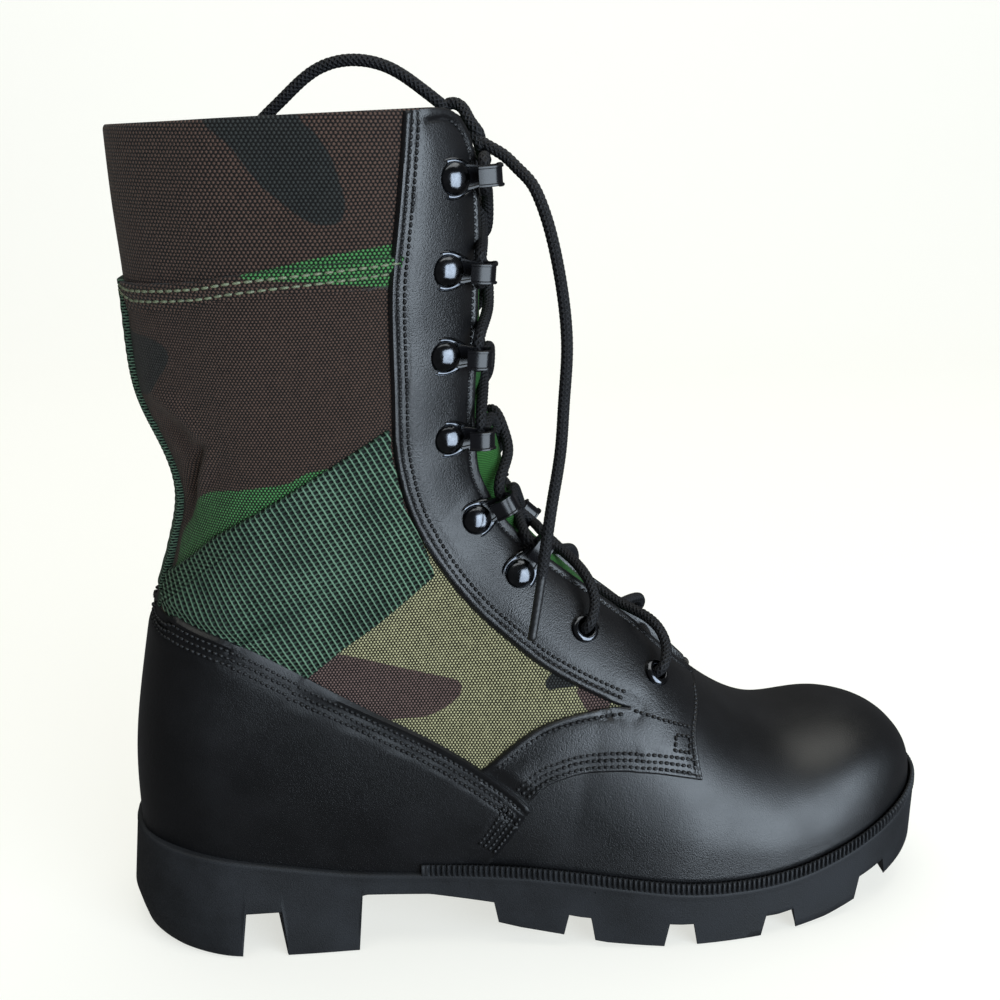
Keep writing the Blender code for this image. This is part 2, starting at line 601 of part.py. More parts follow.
def facing_grids(side):
    """The eyestay, the front part and the band, as three grids that share their borders."""
    turn, front = 3.8, THROAT_CUT + 0.01
    rise = COLLAR_CUT - 0.02 - (COLLAR_CUT - 0.02 - turn) * np.linspace(0, 1, 80)
    throat = np.stack([rise, throat_t(rise, side)], 1)
    foot = np.linspace(turn, front, 20)
    toe_edge = np.stack([foot, ridge_t(foot, side, np.maximum(throat_half(foot), 0.6))], 1)
    back, band_top, band_low = face_line(EYESTAY_BACK), face_line(BAND_TOP), face_line(BAND_LOW)
    v_tip, corner = back[-1], throat[-1]
    stay = fill(spread(back, 22), spread(throat, 22), straight(back[0], throat[0], 4), straight(v_tip, corner, 4))
    left = np.concatenate([straight(band_low[0], v_tip, 2), straight(v_tip, corner, 4)[1:]])
    right = spread(np.vstack([face_line(FACING_FRONT)[::-1], toe_edge[-1:]]), 6)
    low = spread(face_line(TOE_LOW), 4)
    low[-1] = right[0]
    toe = fill(low, spread(toe_edge, 4), left, right)
    band = fill(spread(band_low, 5), spread(band_top, 5), straight(band_low[0], v_tip, 2),
                straight(band_low[-1], band_top[-1], 2))
    return [(side, stay), (side, toe), (side, band)]


def webbing_grid():
    along, across = 11, 5
    return fill(spread(face_line(WEB_LOW), along), spread(face_line(WEB_TOP), along), spread(face_line(WEB_REAR), across),
                spread(face_line(WEB_FRONT), across))


def seam_grid(side):
    top = np.vstack([face_line(SEAM_TOP), [(SEAM_BACK_CUT, 0.0)]])
    low = np.vstack([face_line([(x, z - SEAM_DROP) for x, z in SEAM_TOP]), [(SEAM_BACK_CUT - 0.36, 0.0)]])
    return fill(spread(low, 8), spread(top, 8), straight(low[0], top[0], 1), straight(low[-1], top[-1], 1))


def backstay_grid(side):
    s = np.linspace(*BACKSTAY_CUTS, 8)
    t = back_t(s, side, BACKSTAY_HALF)[:, None] * np.linspace(0, 1, 3)[None, :]
    return np.stack([np.broadcast_to(s[:, None], t.shape), t], -1)


def hardware_frame(spot, side):
    """Place and axes (forward to the throat, along its edge, out) of a fitting on the facing's face."""
    s, t = on_cut(*spot)
    out = -(LAYER_GAP + LEATHER + HARDWARE_GAP)
    step = 0.02
    place = upper_face(s, t, side, out)
    across = upper_face(s, t + step, side, out) - upper_face(s, t - step, side, out)
    along = upper_face(s + step, t, side, out) - upper_face(s - step, t, side, out)
    normal = np.cross(across, along)
    normal *= SIDES[side]["sign"] * np.sign(normal[1]) / np.linalg.norm(normal)
    edge = upper_face(s + step, throat_t(s + step, side), side) - upper_face(s - step, throat_t(s - step, side), side)
    edge -= normal * (edge @ normal)
    edge /= np.linalg.norm(edge)
    forward = np.cross(edge, normal)
    forward *= np.sign(forward @ across)
    return place, forward, edge, normal


def build_hook(name, spot, side, surface, parent):
    """A strip with a domed plate whose front end folds back over into a channel for the lace."""
    place, forward, edge, normal = hardware_frame(spot, side)
    rings = []
    for ahead, out, turn, half, dome in HOOK_STRIP:
        angle = np.radians(turn)
        square = -np.sin(angle) * forward + np.cos(angle) * normal
        middle = place + ahead * forward + out * normal
        for across, lift in ((-half, -0.5), (half, -0.5), (half, 0.5), (0.0, 0.5 + dome / HOOK_THICK), (-half, 0.5)):
            rings.append(middle + across * edge + lift * HOOK_THICK * square)
    faces = grid_faces(len(HOOK_STRIP), 5, 0, True).tolist()
    last = 5 * (len(HOOK_STRIP) - 1)
    faces += [[0, 1, 2, 3, 4], [last + i for i in range(5)]]
    return solid(name, rings, faces, surface, parent)


def turned(place, axes, profile, count=8):
    """A ring turned about the third axis from a closed profile of radius and height."""
    first, second, third = axes
    angle = np.arange(count) * 2 * np.pi / count
    round_part = np.cos(angle)[:, None] * first + np.sin(angle)[:, None] * second
    rows = [place + radius * round_part + height * third for radius, height in profile]
    return np.array(rows).transpose(1, 0, 2)


def build_eyelet(name, spot, side, surface, parent):
    place, forward, edge, normal = hardware_frame(spot, side)
    rings = turned(place, (forward, edge, normal), EYELET_PROFILE)
    count, around = rings.shape[:2]
    rings = np.concatenate([rings, rings[:1]])
    return solid(name, rings.reshape(-1, 3), grid_faces(count + 1, around, 0, True), surface, parent)


def build_hole_cutter(parent):
    """Round cutters for all the eyelets, shared by the upper and both facings."""
    points, faces = [], []
    for spot in EYELETS:
        for side in SIDES:
            place, forward, edge, normal = hardware_frame(spot, side)
            ring = turned(place, (forward, edge, normal), [(EYELET_HOLE, 1.0), (EYELET_HOLE, -9.0)])
            start, count = len(points), len(ring)
            points += [*ring[:, 0], *ring[:, 1]]
            faces += [[start + i, start + (i + 1) % count, start + count + (i + 1) % count, start + count + i]
                      for i in range(count)]
            faces += [[start + i for i in range(count)], [start + count + i for i in range(count)]]
    cutter = solid("eyelet_holes", points, faces, material("leather"), parent)
    cutter.hide_render = True
    cutter.display_type = "WIRE"
    return cutter


def combine(target, other, operation):
    step = target.modifiers.new(other.name, "BOOLEAN")
    step.operation = operation
    step.object = other
    step.solver = "EXACT"


def lace_route(first_side):
    """Points of one lace end from the lowest eyelet upward, changing sides at each level over the tongue."""
    levels = [(spot, "eyelet") for spot in EYELETS] + [(spot, "hook") for spot in HOOKS]
    order = list(SIDES) if first_side == "lateral" else list(SIDES)[::-1]
    points, cuts = [], []
    for i, (spot, kind) in enumerate(levels):
        place, forward, edge, normal = hardware_frame(spot, order[i % 2])
        if kind == "eyelet":
            lie = place + 3.9 * normal
            turn = [lie + 11 * forward + 1.0 * normal - 4 * edge, lie + 4 * forward - 3.6 * edge, lie + 0.5 * forward,
                    lie + 4 * forward + 3.6 * edge, lie + 11 * forward + 1.0 * normal + 4 * edge]
            turn = turn[2:] if i == 0 else turn
        else:
            channel = place + HOOK_CHANNEL[0] * forward + HOOK_CHANNEL[1] * normal
            turn = [channel - 5 * edge, channel + 5 * edge]
        points.append(turn)
        cuts.append(on_cut(*spot)[0])
    route = list(points[0])
    for i in range(1, len(points)):
        gap = (route[-1] + points[i][0]) / 2
        s = np.linspace(cuts[i - 1] - 0.5, cuts[i] + 0.5, 300)
        ridge = np.stack([*ridge_line(s, -LACE_RISE)], 1)
        nearest = ridge[np.argmin(np.linalg.norm(ridge - gap[[0, 2]], axis=1))]
        route.append(np.array([nearest[0], 0.0, nearest[1]]))
        route += points[i]
    return np.array(route)


def build_tube(name, points, radius, surface, parent, sides=6):
    """A round tube along points, its rings kept from twisting, with flat ends."""
    points = np.asarray(points, float)
    along = np.gradient(points, axis=0)
    along /= np.linalg.norm(along, axis=1)[:, None]
    side = np.cross(along[0], [0.3, 0.2, 1.0])
    angle = np.arange(sides) * 2 * np.pi / sides
    rings = []
    for place, ahead in zip(points, along):
        side = side - ahead * (side @ ahead)
        side /= np.linalg.norm(side)
        other = np.cross(ahead, side)
        rings.append(place + radius * (np.cos(angle)[:, None] * side + np.sin(angle)[:, None] * other))
    faces = grid_faces(len(points), sides, 0, True).tolist()
    last = sides * (len(points) - 1)
    faces += [list(range(sides)), list(range(last, last + sides))]
    return solid(name, np.concatenate(rings), faces, surface, parent)


def build_laces(surface, parent):
    first = build_tube("lace_crossings", lace_route("lateral"), LACE_R, surface, parent)
    second = build_tube("lace_second", lace_route("medial"), LACE_R, surface, parent)
    second.hide_render = True
    second.display_type = "WIRE"
    combine(first, second, "UNION")


def build_cord(name, points, surface, parent):
    """A free length of lace: a curve with a round section and closed ends."""
    curve = bpy.data.curves.new(name, "CURVE")
    curve.dimensions = "3D"
    curve.bevel_depth = LACE_R * MM
    curve.bevel_resolution = 2
    curve.use_fill_caps = True
    line = curve.splines.new("POLY")
    line.points.add(len(points) - 1)
    for spot, place in zip(line.points, np.array(points, float) * MM):
        spot.co = (*place, 1)
    return add(name, curve, surface, parent)


def main():
    for old in list(bpy.data.objects):
        bpy.data.objects.remove(old, do_unlink=True)
    boot = bpy.data.objects.new("boot", None)
    bpy.context.scene.collection.objects.link(boot)

    build_outsole(material("rubber"), boot)
    build_rand(material("rand_rubber"), boot)
    build_insole(material("board"), boot)

    holes = build_hole_cutter(boot)
    upper = shell("upper", both_sides(upper_grid), 0.0, WALL, material("canvas"), boot)
    combine(upper, holes, "DIFFERENCE")
    inset = WALL + TONGUE_GAP
    shell("tongue", both_sides(tongue_grid), inset, inset + TONGUE_THICK, material("tongue_canvas"), boot)

    leather, webbing = material("leather"), material("webbing")
    lifted = -LAYER_GAP
    shell("heel_counter", both_sides(counter_grid), lifted - LEATHER, lifted, leather, boot)
    for side in SIDES:
        facing = shell("facing_" + side, facing_grids(side), lifted - LEATHER, lifted, leather, boot)
        combine(facing, holes, "DIFFERENCE")
        shell("webbing_" + side, [(side, webbing_grid())], lifted - WEBBING, lifted, webbing, boot)
    shell("cuff_seam", both_sides(seam_grid), lifted - SEAM, lifted, material("canvas"), boot)
    shell("backstay", both_sides(backstay_grid), lifted - WEBBING, lifted, webbing, boot)

    hardware, lace = material("hardware"), material("lace")
    for side in SIDES:
        for i, spot in enumerate(HOOKS):
            build_hook(f"hook_{side}_{i + 1}", spot, side, hardware, boot)
        for i, spot in enumerate(EYELETS):
            build_eyelet(f"eyelet_{side}_{i + 1}", spot, side, hardware, boot)
    build_laces(lace, boot)
    build_cord("lace_knot", KNOT, lace, boot)
    build_cord("lace_end_front", FRONT_END, lace, boot)
    build_cord("lace_end_inside", INSIDE_END, lace, boot)


main()
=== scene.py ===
# %% [markdown]
# # A jungle boot in canvas and leather
# The solids of the boot are loaded first and stay where they are: the upper on its last, the sole, the sewn
# panels, the hooks and the lace. Every piece below is worked out from the same shape functions, so it lies
# where its solid lies, and then carries what a solid leaves out: rolled edges, stitches, weave, grain, ribs
# and braid.

# %% Load the frame and keep its box
import json
import math

import bmesh
import bpy
import numpy as np
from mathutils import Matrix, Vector

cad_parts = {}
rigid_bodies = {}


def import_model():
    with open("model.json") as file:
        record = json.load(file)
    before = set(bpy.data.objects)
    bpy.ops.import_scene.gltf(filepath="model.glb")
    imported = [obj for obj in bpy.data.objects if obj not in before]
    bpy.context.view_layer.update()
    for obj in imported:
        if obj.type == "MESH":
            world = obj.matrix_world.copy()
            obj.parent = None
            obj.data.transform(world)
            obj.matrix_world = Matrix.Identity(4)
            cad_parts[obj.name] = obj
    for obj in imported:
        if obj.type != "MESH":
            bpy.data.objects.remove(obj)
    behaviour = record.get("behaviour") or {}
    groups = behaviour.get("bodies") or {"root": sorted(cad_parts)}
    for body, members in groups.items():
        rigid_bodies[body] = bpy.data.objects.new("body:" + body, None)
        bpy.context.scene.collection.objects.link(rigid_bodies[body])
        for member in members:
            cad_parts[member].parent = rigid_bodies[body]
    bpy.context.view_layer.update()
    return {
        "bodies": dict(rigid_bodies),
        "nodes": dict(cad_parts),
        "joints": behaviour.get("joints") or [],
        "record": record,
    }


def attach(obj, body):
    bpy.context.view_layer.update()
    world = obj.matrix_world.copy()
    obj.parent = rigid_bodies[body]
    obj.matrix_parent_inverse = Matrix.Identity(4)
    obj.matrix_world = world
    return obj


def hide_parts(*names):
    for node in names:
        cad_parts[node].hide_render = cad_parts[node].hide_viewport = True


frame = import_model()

MM = 0.001

# %% [markdown]
# ## Helpers for meshes
# A surface is a grid of points, so its faces are quads between neighbouring rows and columns. A sheet of
# leather or cloth gets thickness from a second grid under the first, with a wall along every edge that only
# one quad uses. The alternative, a Solidify modifier, can't give an edge that rolls off as cut leather
# does, so both faces are computed.


# %% Grids, shells and meshes
def grid_quads(rows, columns, start=0, loop=False):
    """Corner numbers of a grid's quads, row by row; a loop joins the last column to the first."""
    i = np.arange(rows - 1)[:, None]
    j = np.arange(columns if loop else columns - 1)[None, :]
    k = (j + 1) % columns
    corners = np.broadcast_arrays(i * columns + j, (i + 1) * columns + j, (i + 1) * columns + k,
                                  i * columns + k)
    return np.stack(corners, -1).reshape(-1, 4) + start


def joined(grids, loop=False):
    """All points and all quads of several grids, each as one list."""
    starts = np.cumsum([0] + [grid[..., 0].size for grid in grids])
    quads = [grid_quads(*grid.shape[:2], start, loop) for grid, start in zip(grids, starts)]
    return np.concatenate([grid.reshape(-1, 3) for grid in grids]), np.concatenate(quads)


def closed_shell(outer, inner, quads):
    """The outer quads, the inner ones turned over, and a wall wherever an edge is used by one quad alone.
    Points of the inner face that coincide count as one, so grids that share a border get no wall there."""
    count = len(outer)
    same = np.unique(np.round(inner, 2), axis=0, return_inverse=True)[1].reshape(-1)
    edges = np.concatenate([quads[:, [i, (i + 1) % 4]] for i in range(4)])
    key = np.sort(same[edges], 1)
    index, uses = np.unique(key, axis=0, return_inverse=True, return_counts=True)[1:]
    single = (uses[index.reshape(-1)] == 1) & (key[:, 0] != key[:, 1])
    a, b = edges[single].T
    walls = np.stack([b, a, a + count, b + count], 1)
    return np.concatenate([outer, inner]), np.concatenate([quads, quads[:, ::-1] + count, walls])


def capped(strip):
    """A strip of rings with one more at each end, shrunk to the middle of the last."""
    ends = strip[[0, -1]].mean(1, keepdims=True) + 0 * strip[[0, -1]]
    return np.concatenate([ends[:1], strip, ends[1:]])


def twice(values):
    """Values for each point of one face, given to both faces of a shell."""
    return np.concatenate([values, values])


def put(name, data):
    """A new object in the scene that holds this data."""
    made = bpy.data.objects.new(name, data)
    bpy.context.scene.collection.objects.link(made)
    return made


def put_mesh(name, points, quads, uv=None, fields=None, parts=None, sharp=40):
    """One object from points in millimetres: coinciding points are merged and all faces turned outward. uv
    is given for each point in millimetres, fields are numbers for each point, parts are finish numbers for
    each quad."""
    mesh = bpy.data.meshes.new(name)
    mesh.from_pydata((np.asarray(points, float) * MM).tolist(), [], np.asarray(quads).tolist())
    corners = np.empty(len(mesh.loops), np.int32)
    mesh.loops.foreach_get("vertex_index", corners)
    if uv is not None:
        layer = mesh.uv_layers.new(name="UVMap")
        layer.data.foreach_set("uv", np.asarray(uv, np.float32)[corners].ravel())
    for key, values in (fields or {}).items():
        field = mesh.attributes.new(key, "FLOAT", "POINT")
        field.data.foreach_set("value", np.asarray(values, np.float32).ravel())
    if parts is not None:
        mesh.polygons.foreach_set("material_index", np.asarray(parts, np.int32))
    shape = bmesh.new()
    shape.from_mesh(mesh)
    bmesh.ops.remove_doubles(shape, verts=shape.verts[:], dist=4e-6)
    bmesh.ops.recalc_face_normals(shape, faces=shape.faces[:])
    shape.to_mesh(mesh)
    shape.free()
    mesh.shade_smooth()
    mesh.set_sharp_from_angle(angle=math.radians(sharp))
    print(f"{name}: {len(mesh.polygons)} faces")
    return put(name, mesh)


def dress(piece, finishes, slot, *nodes):
    """Gives a piece its finishes, lets it ride on the boot, and hides the solids that it stands for."""
    for finish in finishes:
        piece.data.materials.append(finish)
    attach(piece, "root")
    if nodes:
        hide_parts(*nodes)
    return piece


# %% [markdown]
# ## The boot's own shape
# A boot is made over a last, and its outline is easiest to hold as a set of flat cuts from toe to collar.
# Each cut starts on the feather line (or the back line of the shaft) and rises to the ridge over the
# instep. The tables give the cuts, the plan of the sole and its side view in millimetres, and cubic curves
# run through them. Measuring a scanned last would also work, but a table can be read and changed.

# %% Tables of the sole and the last
HEEL_X, TOE_X, HEEL_RUN, HEEL_POWER, TIP_SHIFT = -152.5, 157.0, 46.0, 2.3, 6.0
SIDES = {
    "lateral": {"sign": -1, "column": 3, "x": [-106.5, -55, 0, 54], "half": [38.5, 41.0, 47.5, 53.0],
                "power": 2.25},
    "medial": {"sign": 1, "column": 4, "x": [-106.5, -62, -25, 20, 64],
               "half": [38.5, 36.5, 37.0, 44.0, 51.5], "power": 2.35},
}
RIM = [(-157, 42.5), (-128, 39.5), (-108, 36.5), (-88, 33), (-67, 30.5), (-44, 30), (-7, 29),
       (26, 25.5), (55, 22), (78, 21.5), (93, 22.5), (122, 28.5), (157, 39.5)]
BED_DROP, FIT, HEEL_MARGIN, BALL_MARGIN, TOE_MARGIN, WALL = 4.5, 0.3, 4.0, 2.6, 2.5, 2.2
CUTS = np.array([
    # lower x, ridge x, ridge z, lateral half, medial half, where widest, lower roundness, upper roundness
    (154.5, 154.5, 75.3, 50.3, 48.5, 0.30, 2.4, 2.3), (120, 120, 69, 50.3, 48.5, 0.30, 2.4, 2.3),
    (92, 92, 68.5, 50.2, 48.5, 0.28, 2.4, 2.2), (60, 63, 86.5, 50.2, 48, 0.26, 2.4, 2.1),
    (28, 38.5, 111, 47.5, 43.5, 0.24, 2.4, 2.1), (-12, 16.2, 130.6, 44, 38, 0.24, 2.4, 2.1),
    (-58, -1, 147.2, 39, 35.8, 0.24, 2.4, 2.1), (-104, -10.3, 160.6, 36.5, 35.5, 0.24, 2.3, 2.1),
    (-134, -14.6, 172, 35.5, 35, 0.25, 2.2, 2.1), (-148.5, -16.9, 181, 35, 34.5, 0.26, 2.2, 2.1),
    (-148.9, -17.9, 189.3, 35, 34.5, 0.28, 2.2, 2.1), (-147, -18.6, 197.3, 35.5, 35, 0.30, 2.2, 2.1),
    (-141.8, -19, 206.2, 35.5, 35, 0.33, 2.2, 2.1), (-134.8, -19.2, 216, 36, 35.5, 0.38, 2.2, 2.1),
    (-129.8, -19.5, 228, 37, 37, 0.42, 2.2, 2.1), (-136.3, -19.5, 240, 39, 39, 0.45, 2.3, 2.1),
    (-141.4, -19.3, 251, 41, 41, 0.47, 2.3, 2.1), (-142.5, -19.6, 266, 42.5, 42.5, 0.48, 2.3, 2.1),
    (-144, -21, 282, 44, 44, 0.48, 2.3, 2.1), (-144.8, -22.7, 298, 45, 45, 0.48, 2.3, 2.1),
])
LOWER_X, CREST_X, CREST_Z, WIDEST, LOW_ROUND, TOP_ROUND = 0, 1, 2, 5, 6, 7  # columns of the cuts
BACK_HEIGHTS = [56, 80, 110, 143, 170, 193, 212, 240, 266, 292]
HEEL_CUT, COLLAR_CUT, RIDGE_X, RIDGE_POWER = 9, len(CUTS) - 1, 88.0, 2.75
THROAT_CUT, THROAT_ROUND, CORNER_CUTS, CORNER_HALF = 3.05, 0.05, 1.3, 15.5
THROAT_HALF = [(0, 8), (0.25, 12), (0.5, 13.5), (1, 14.5)]
print("cuts:", len(CUTS), "sole length", TOE_X - HEEL_X, "mm")


# %% Curves through the tables
def spline(rows, at, flat_ends=False):
    """A cubic through a table of two columns: the bends at its knots solve one tridiagonal system, and each
    stretch blends its two end values and end bends."""
    k, v = np.array(rows, float).T
    h, n = np.diff(k), len(k)
    d = np.diff(v) / h
    a, r = np.eye(n), np.zeros(n)
    i = np.arange(1, n - 1)
    a[i, i - 1], a[i, i], a[i, i + 1], r[i] = h[:-1], 2 * (h[:-1] + h[1:]), h[1:], 6 * np.diff(d)
    if flat_ends:
        a[0, :2], r[0] = (2 * h[0], h[0]), 6 * d[0]
        a[-1, -2:], r[-1] = (h[-1], 2 * h[-1]), -6 * d[-1]
    m = np.linalg.solve(a, r)
    at = np.asarray(at, float)
    i = np.clip(np.searchsorted(k, at) - 1, 0, n - 2)
    p, q = (k[i + 1] - at) / h[i], (at - k[i]) / h[i]
    return p * v[i] + q * v[i + 1] + ((p**3 - p) * m[i] + (q**3 - q) * m[i + 1]) * h[i] ** 2 / 6


def broken_line(rows, at):
    """Values at these places: straight stretches between the rows of a table."""
    return np.interp(at, *np.array(rows, float).T)


def run_along(points):
    """How far each point lies along a line: the summed lengths of the stretches before it."""
    return np.concatenate([[0], np.cumsum(np.linalg.norm(np.diff(points, axis=0), axis=1))])


def unit(vectors):
    """Vectors divided by their lengths."""
    return vectors / np.maximum(np.linalg.norm(vectors, axis=-1, keepdims=True), 1e-12)


def at_lengths(line, length, at):
    """Points of a line at these lengths along it."""
    return np.stack([np.interp(at, length, column) for column in line.T], 1)


def curve_through(points, knots, at):
    """A cubic curve through points that stand at these knots."""
    return np.stack([spline(np.stack([knots, column], 1), at) for column in points.T], 1)


def turns(count):
    """Angles of count places evenly round a circle."""
    return np.arange(count) * 2 * np.pi / count


def round_end(u, power):
    """1 at u = 0, falling to 0 at u = 1 along a superellipse."""
    return np.clip(1 - np.clip(u, 0, 1) ** power, 0, 1) ** (1 / power)


def quarter_round(u):
    """0 at u = 0, rising to 1 at u = 1 along a quarter circle."""
    return np.sqrt(1 - (1 - np.clip(u, 0, 1)) ** 2)


def ease(u):
    """0 below u = 0, 1 above u = 1, level at both: u squared times (3 - 2u)."""
    u = np.clip(u, 0, 1)
    return u * u * (3 - 2 * u)


def bell(d, width):
    """1 at d = 0, falling off as exp of minus (d / width) squared."""
    return np.exp(-(np.asarray(d) / width) ** 2)


def centre(x):
    """The plan's centre line, which leans to the medial side at the toe."""
    return TIP_SHIFT * ease((np.asarray(x, float) - 40) / (TOE_X - 40))


def rim(x):
    """Height of the sole's top edge at x: a cubic curve through the rows of RIM."""
    return spline(RIM, x)


def bed(x):
    """Height of the sole's inner bed: its rim less the cup's depth."""
    return rim(x) - BED_DROP


def margin(x):
    """How far the upper's foot stands inside the sole's outline."""
    return HEEL_MARGIN + (BALL_MARGIN - HEEL_MARGIN) * ease((np.asarray(x, float) + 30) / 40)


def half_width(x, side, inset, heel_inset, toe_inset):
    """Half width of the plan at x: a cubic along the side, less the inset, times a superellipse at each
    end."""
    rows = SIDES[side]
    first, last = rows["x"][0], rows["x"][-1]
    y = spline(np.stack([rows["x"], rows["half"]], 1), np.clip(x, first, last), True) - inset
    y = y * round_end((first - x) / (HEEL_RUN - heel_inset), HEEL_POWER)
    return y * round_end((x - last) / (TOE_X - toe_inset - last), rows["power"])


def plan_point(x, side, inset, heel_inset, toe_inset, share=1.0):
    """x and y of the plan's edge at station x, drawn in, or of a share of the way out to it."""
    moved = x + heel_inset * (1 - ease((x - HEEL_X) / HEEL_RUN)) - toe_inset * ease((x - TOE_X + 40) / 40)
    y = half_width(moved, side, inset, heel_inset, toe_inset)
    return moved, centre(moved) + SIDES[side]["sign"] * share * np.maximum(y, 0)


# %% The upper's face
def cut_value(column, s):
    """One column of the cuts at s: a cubic curve through the values of the cuts."""
    return spline(np.stack([np.arange(len(CUTS)), CUTS[:, column]], 1), s)


def cut_form(s):
    """Where cut s is widest, and the roundness of its lower and of its upper quarter."""
    return (cut_value(column, s) for column in (WIDEST, LOW_ROUND, TOP_ROUND))


def lower_line(s, inset=0.0):
    """Lower end of cut s: on the feather as far as the heel, then up the back line."""
    ends = np.stack([np.arange(len(CUTS)), CUTS[:, LOWER_X]], 1)
    heights = np.stack([ends[HEEL_CUT:, 0], [bed(ends[HEEL_CUT, 1]) + FIT] + BACK_HEIGHTS], 1)
    under, over = np.minimum(s, HEEL_CUT), np.maximum(s, HEEL_CUT)
    x = np.where(s <= HEEL_CUT, spline(ends[:HEEL_CUT + 1], under), spline(ends[HEEL_CUT:], over))
    z = np.where(s <= HEEL_CUT, bed(x) + FIT, spline(heights, over))
    return x - inset * (1 - ease(s / 2)) + inset * ease((s - 7) / 2), z


def ridge_line(s, inset=0.0):
    """Upper end of cut s, moved inward square to the ridge."""
    step = 0.02
    dx, dz = (cut_value(column, s + step) - cut_value(column, s - step) for column in (CREST_X, CREST_Z))
    size = np.hypot(dx, dz)
    return cut_value(CREST_X, s) - inset * dz / size, cut_value(CREST_Z, s) + inset * dx / size


def cut_ends(s, inset=0.0):
    """Both ends of cut s, with the ridge rounded down to the feather at the toe."""
    bx, bz = lower_line(s, inset)
    tx, tz = ridge_line(s, inset)
    lift = round_end((bx - RIDGE_X) / (TOE_X - TOE_MARGIN - inset - RIDGE_X), RIDGE_POWER)
    return bx, bz, bx + (tx - bx) * lift, bz + (tz - bz) * lift


def upper_face(s, t, side, inset=0.0):
    """A point of the upper's face: s runs from toe to collar, t from the lower line (0) to the ridge (1). A
    cut is two quarter superellipses that meet where it is widest. inset moves the whole face in, or out if
    negative."""
    s, t = np.broadcast_arrays(np.asarray(s, float), np.asarray(t, float))
    rows = SIDES[side]
    bx, bz, tx, tz = cut_ends(s, inset)
    tip, ball = TOE_X - TOE_MARGIN - inset, rows["x"][-1]
    foot = half_width(bx, side, margin(bx) + inset, HEEL_MARGIN + inset, TOE_MARGIN + inset)
    foot = np.where(s <= HEEL_CUT, np.maximum(foot, 0), 0.0)
    half = (cut_value(rows["column"], s) - inset) * round_end((bx - ball) / (tip - ball), rows["power"])
    half = np.maximum(np.maximum(half, foot), 1e-6)
    wide, low, top = cut_form(s)
    a, b = np.clip(2 * t, 0, 1) * np.pi / 2, np.clip(2 * t - 1, 0, 1) * np.pi / 2
    cos_a, cos_b = np.maximum(np.cos(a), 0), np.maximum(np.cos(b), 0)
    up = np.where(t < 0.5, wide * (1 - cos_a ** (2 / low)), wide + (1 - wide) * np.sin(b) ** (2 / top))
    upright = foot / half
    swell = upright * ease(up / wide) + (1 - upright) * np.sin(a) ** (2 / low)
    out = np.where(t < 0.5, foot + (half - foot) * swell, half * cos_b ** (2 / top))
    x = bx + (tx - bx) * up
    return np.stack([x, centre(x) + rows["sign"] * out, bz + (tz - bz) * up], -1)


def throat_half(s):
    """Half the throat's width at cut s, round at its foot and flared at the collar's corner."""
    u = np.clip((s - THROAT_CUT) / (COLLAR_CUT - THROAT_CUT), 0, 1)
    corner = 1 - quarter_round((COLLAR_CUT - s) / CORNER_CUTS)
    return spline(THROAT_HALF, u) * quarter_round(u / THROAT_ROUND) + CORNER_HALF * corner


def ridge_t(s, side, away):
    """The t of cut s that lies this far from the ridge, measured across."""
    half = cut_value(SIDES[side]["column"], s)
    return 0.5 + np.arccos(np.clip(away / half, 0, 1) ** (cut_value(TOP_ROUND, s) / 2)) / np.pi


def throat_t(s, side):
    """The throat's edge on cut s: t where the ridge is half the throat's width away."""
    return ridge_t(s, side, throat_half(s))


def back_t(s, side, away):
    """The t of cut s, above the heel, that lies this far from the back line."""
    half = cut_value(SIDES[side]["column"], s)
    return np.arcsin((away / half) ** (cut_value(LOW_ROUND, s) / 2)) / np.pi


ALL_CUTS = np.linspace(0.05, COLLAR_CUT, 5000)
CUT_ENDS = cut_ends(ALL_CUTS)


def on_cut(x, z):
    """s and t of face points given in side view, where each cut is a straight line: the cut that passes
    nearest is looked up, and how far up it the point lies turns back into t."""
    bx, bz, tx, tz = CUT_ENDS
    x, z = np.asarray(x, float)[:, None], np.asarray(z, float)[:, None]
    size = np.hypot(tx - bx, tz - bz)
    across = np.abs((x - bx) * (tz - bz) - (z - bz) * (tx - bx)) / size
    along = ((x - bx) * (tx - bx) + (z - bz) * (tz - bz)) / size**2
    best = np.argmin(across + 1e3 * ((along < -0.02) | (along > 1.02)), 1)
    s, up = ALL_CUTS[best], np.clip(along[np.arange(len(best)), best], 0, 1)
    wide, low, top = cut_form(s)
    under = np.arccos(np.clip(1 - up / wide, 0, 1) ** (low / 2)) / np.pi
    over = 0.5 + np.arcsin(np.clip((up - wide) / (1 - wide), 0, 1) ** (top / 2)) / np.pi
    return np.stack([s, np.where(up < wide, under, over)], 1)


def face_line(rows, fine=8):
    """A table of x and z, joined by straight lines in side view, as a fine array of s and t."""
    rows = np.array(rows, float)
    at = np.linspace(0, len(rows) - 1, fine * (len(rows) - 1) + 1)
    return on_cut(*at_lengths(rows, np.arange(len(rows)), at).T)


print("height of the ridge at the collar", round(float(CUT_ENDS[3][-1]), 1), "mm")

# %% [markdown]
# ## Lines on the face
# Panels are cut to lines, and edges roll off, fold and are sewn at a set distance from those lines. So
# three tools are needed: points evenly along a line, a grid between four lines, and how far a point lies
# from a line. Projecting curves with a Shrinkwrap modifier could place seams too, but working in s and t
# keeps everything exactly on the face.


# %% Borders, fills and distances
T_WEIGHT, FACE_STEP, CHUNK = 8.0, 1e-3, 3_000_000


def bunched(count, pull=0.8):
    """count + 1 steps from 0 to 1 that close up at both ends: u less a share of sin(2 pi u) / (2 pi)."""
    u = np.linspace(0, 1, count + 1)
    return u - pull * np.sin(2 * np.pi * u) / (2 * np.pi)


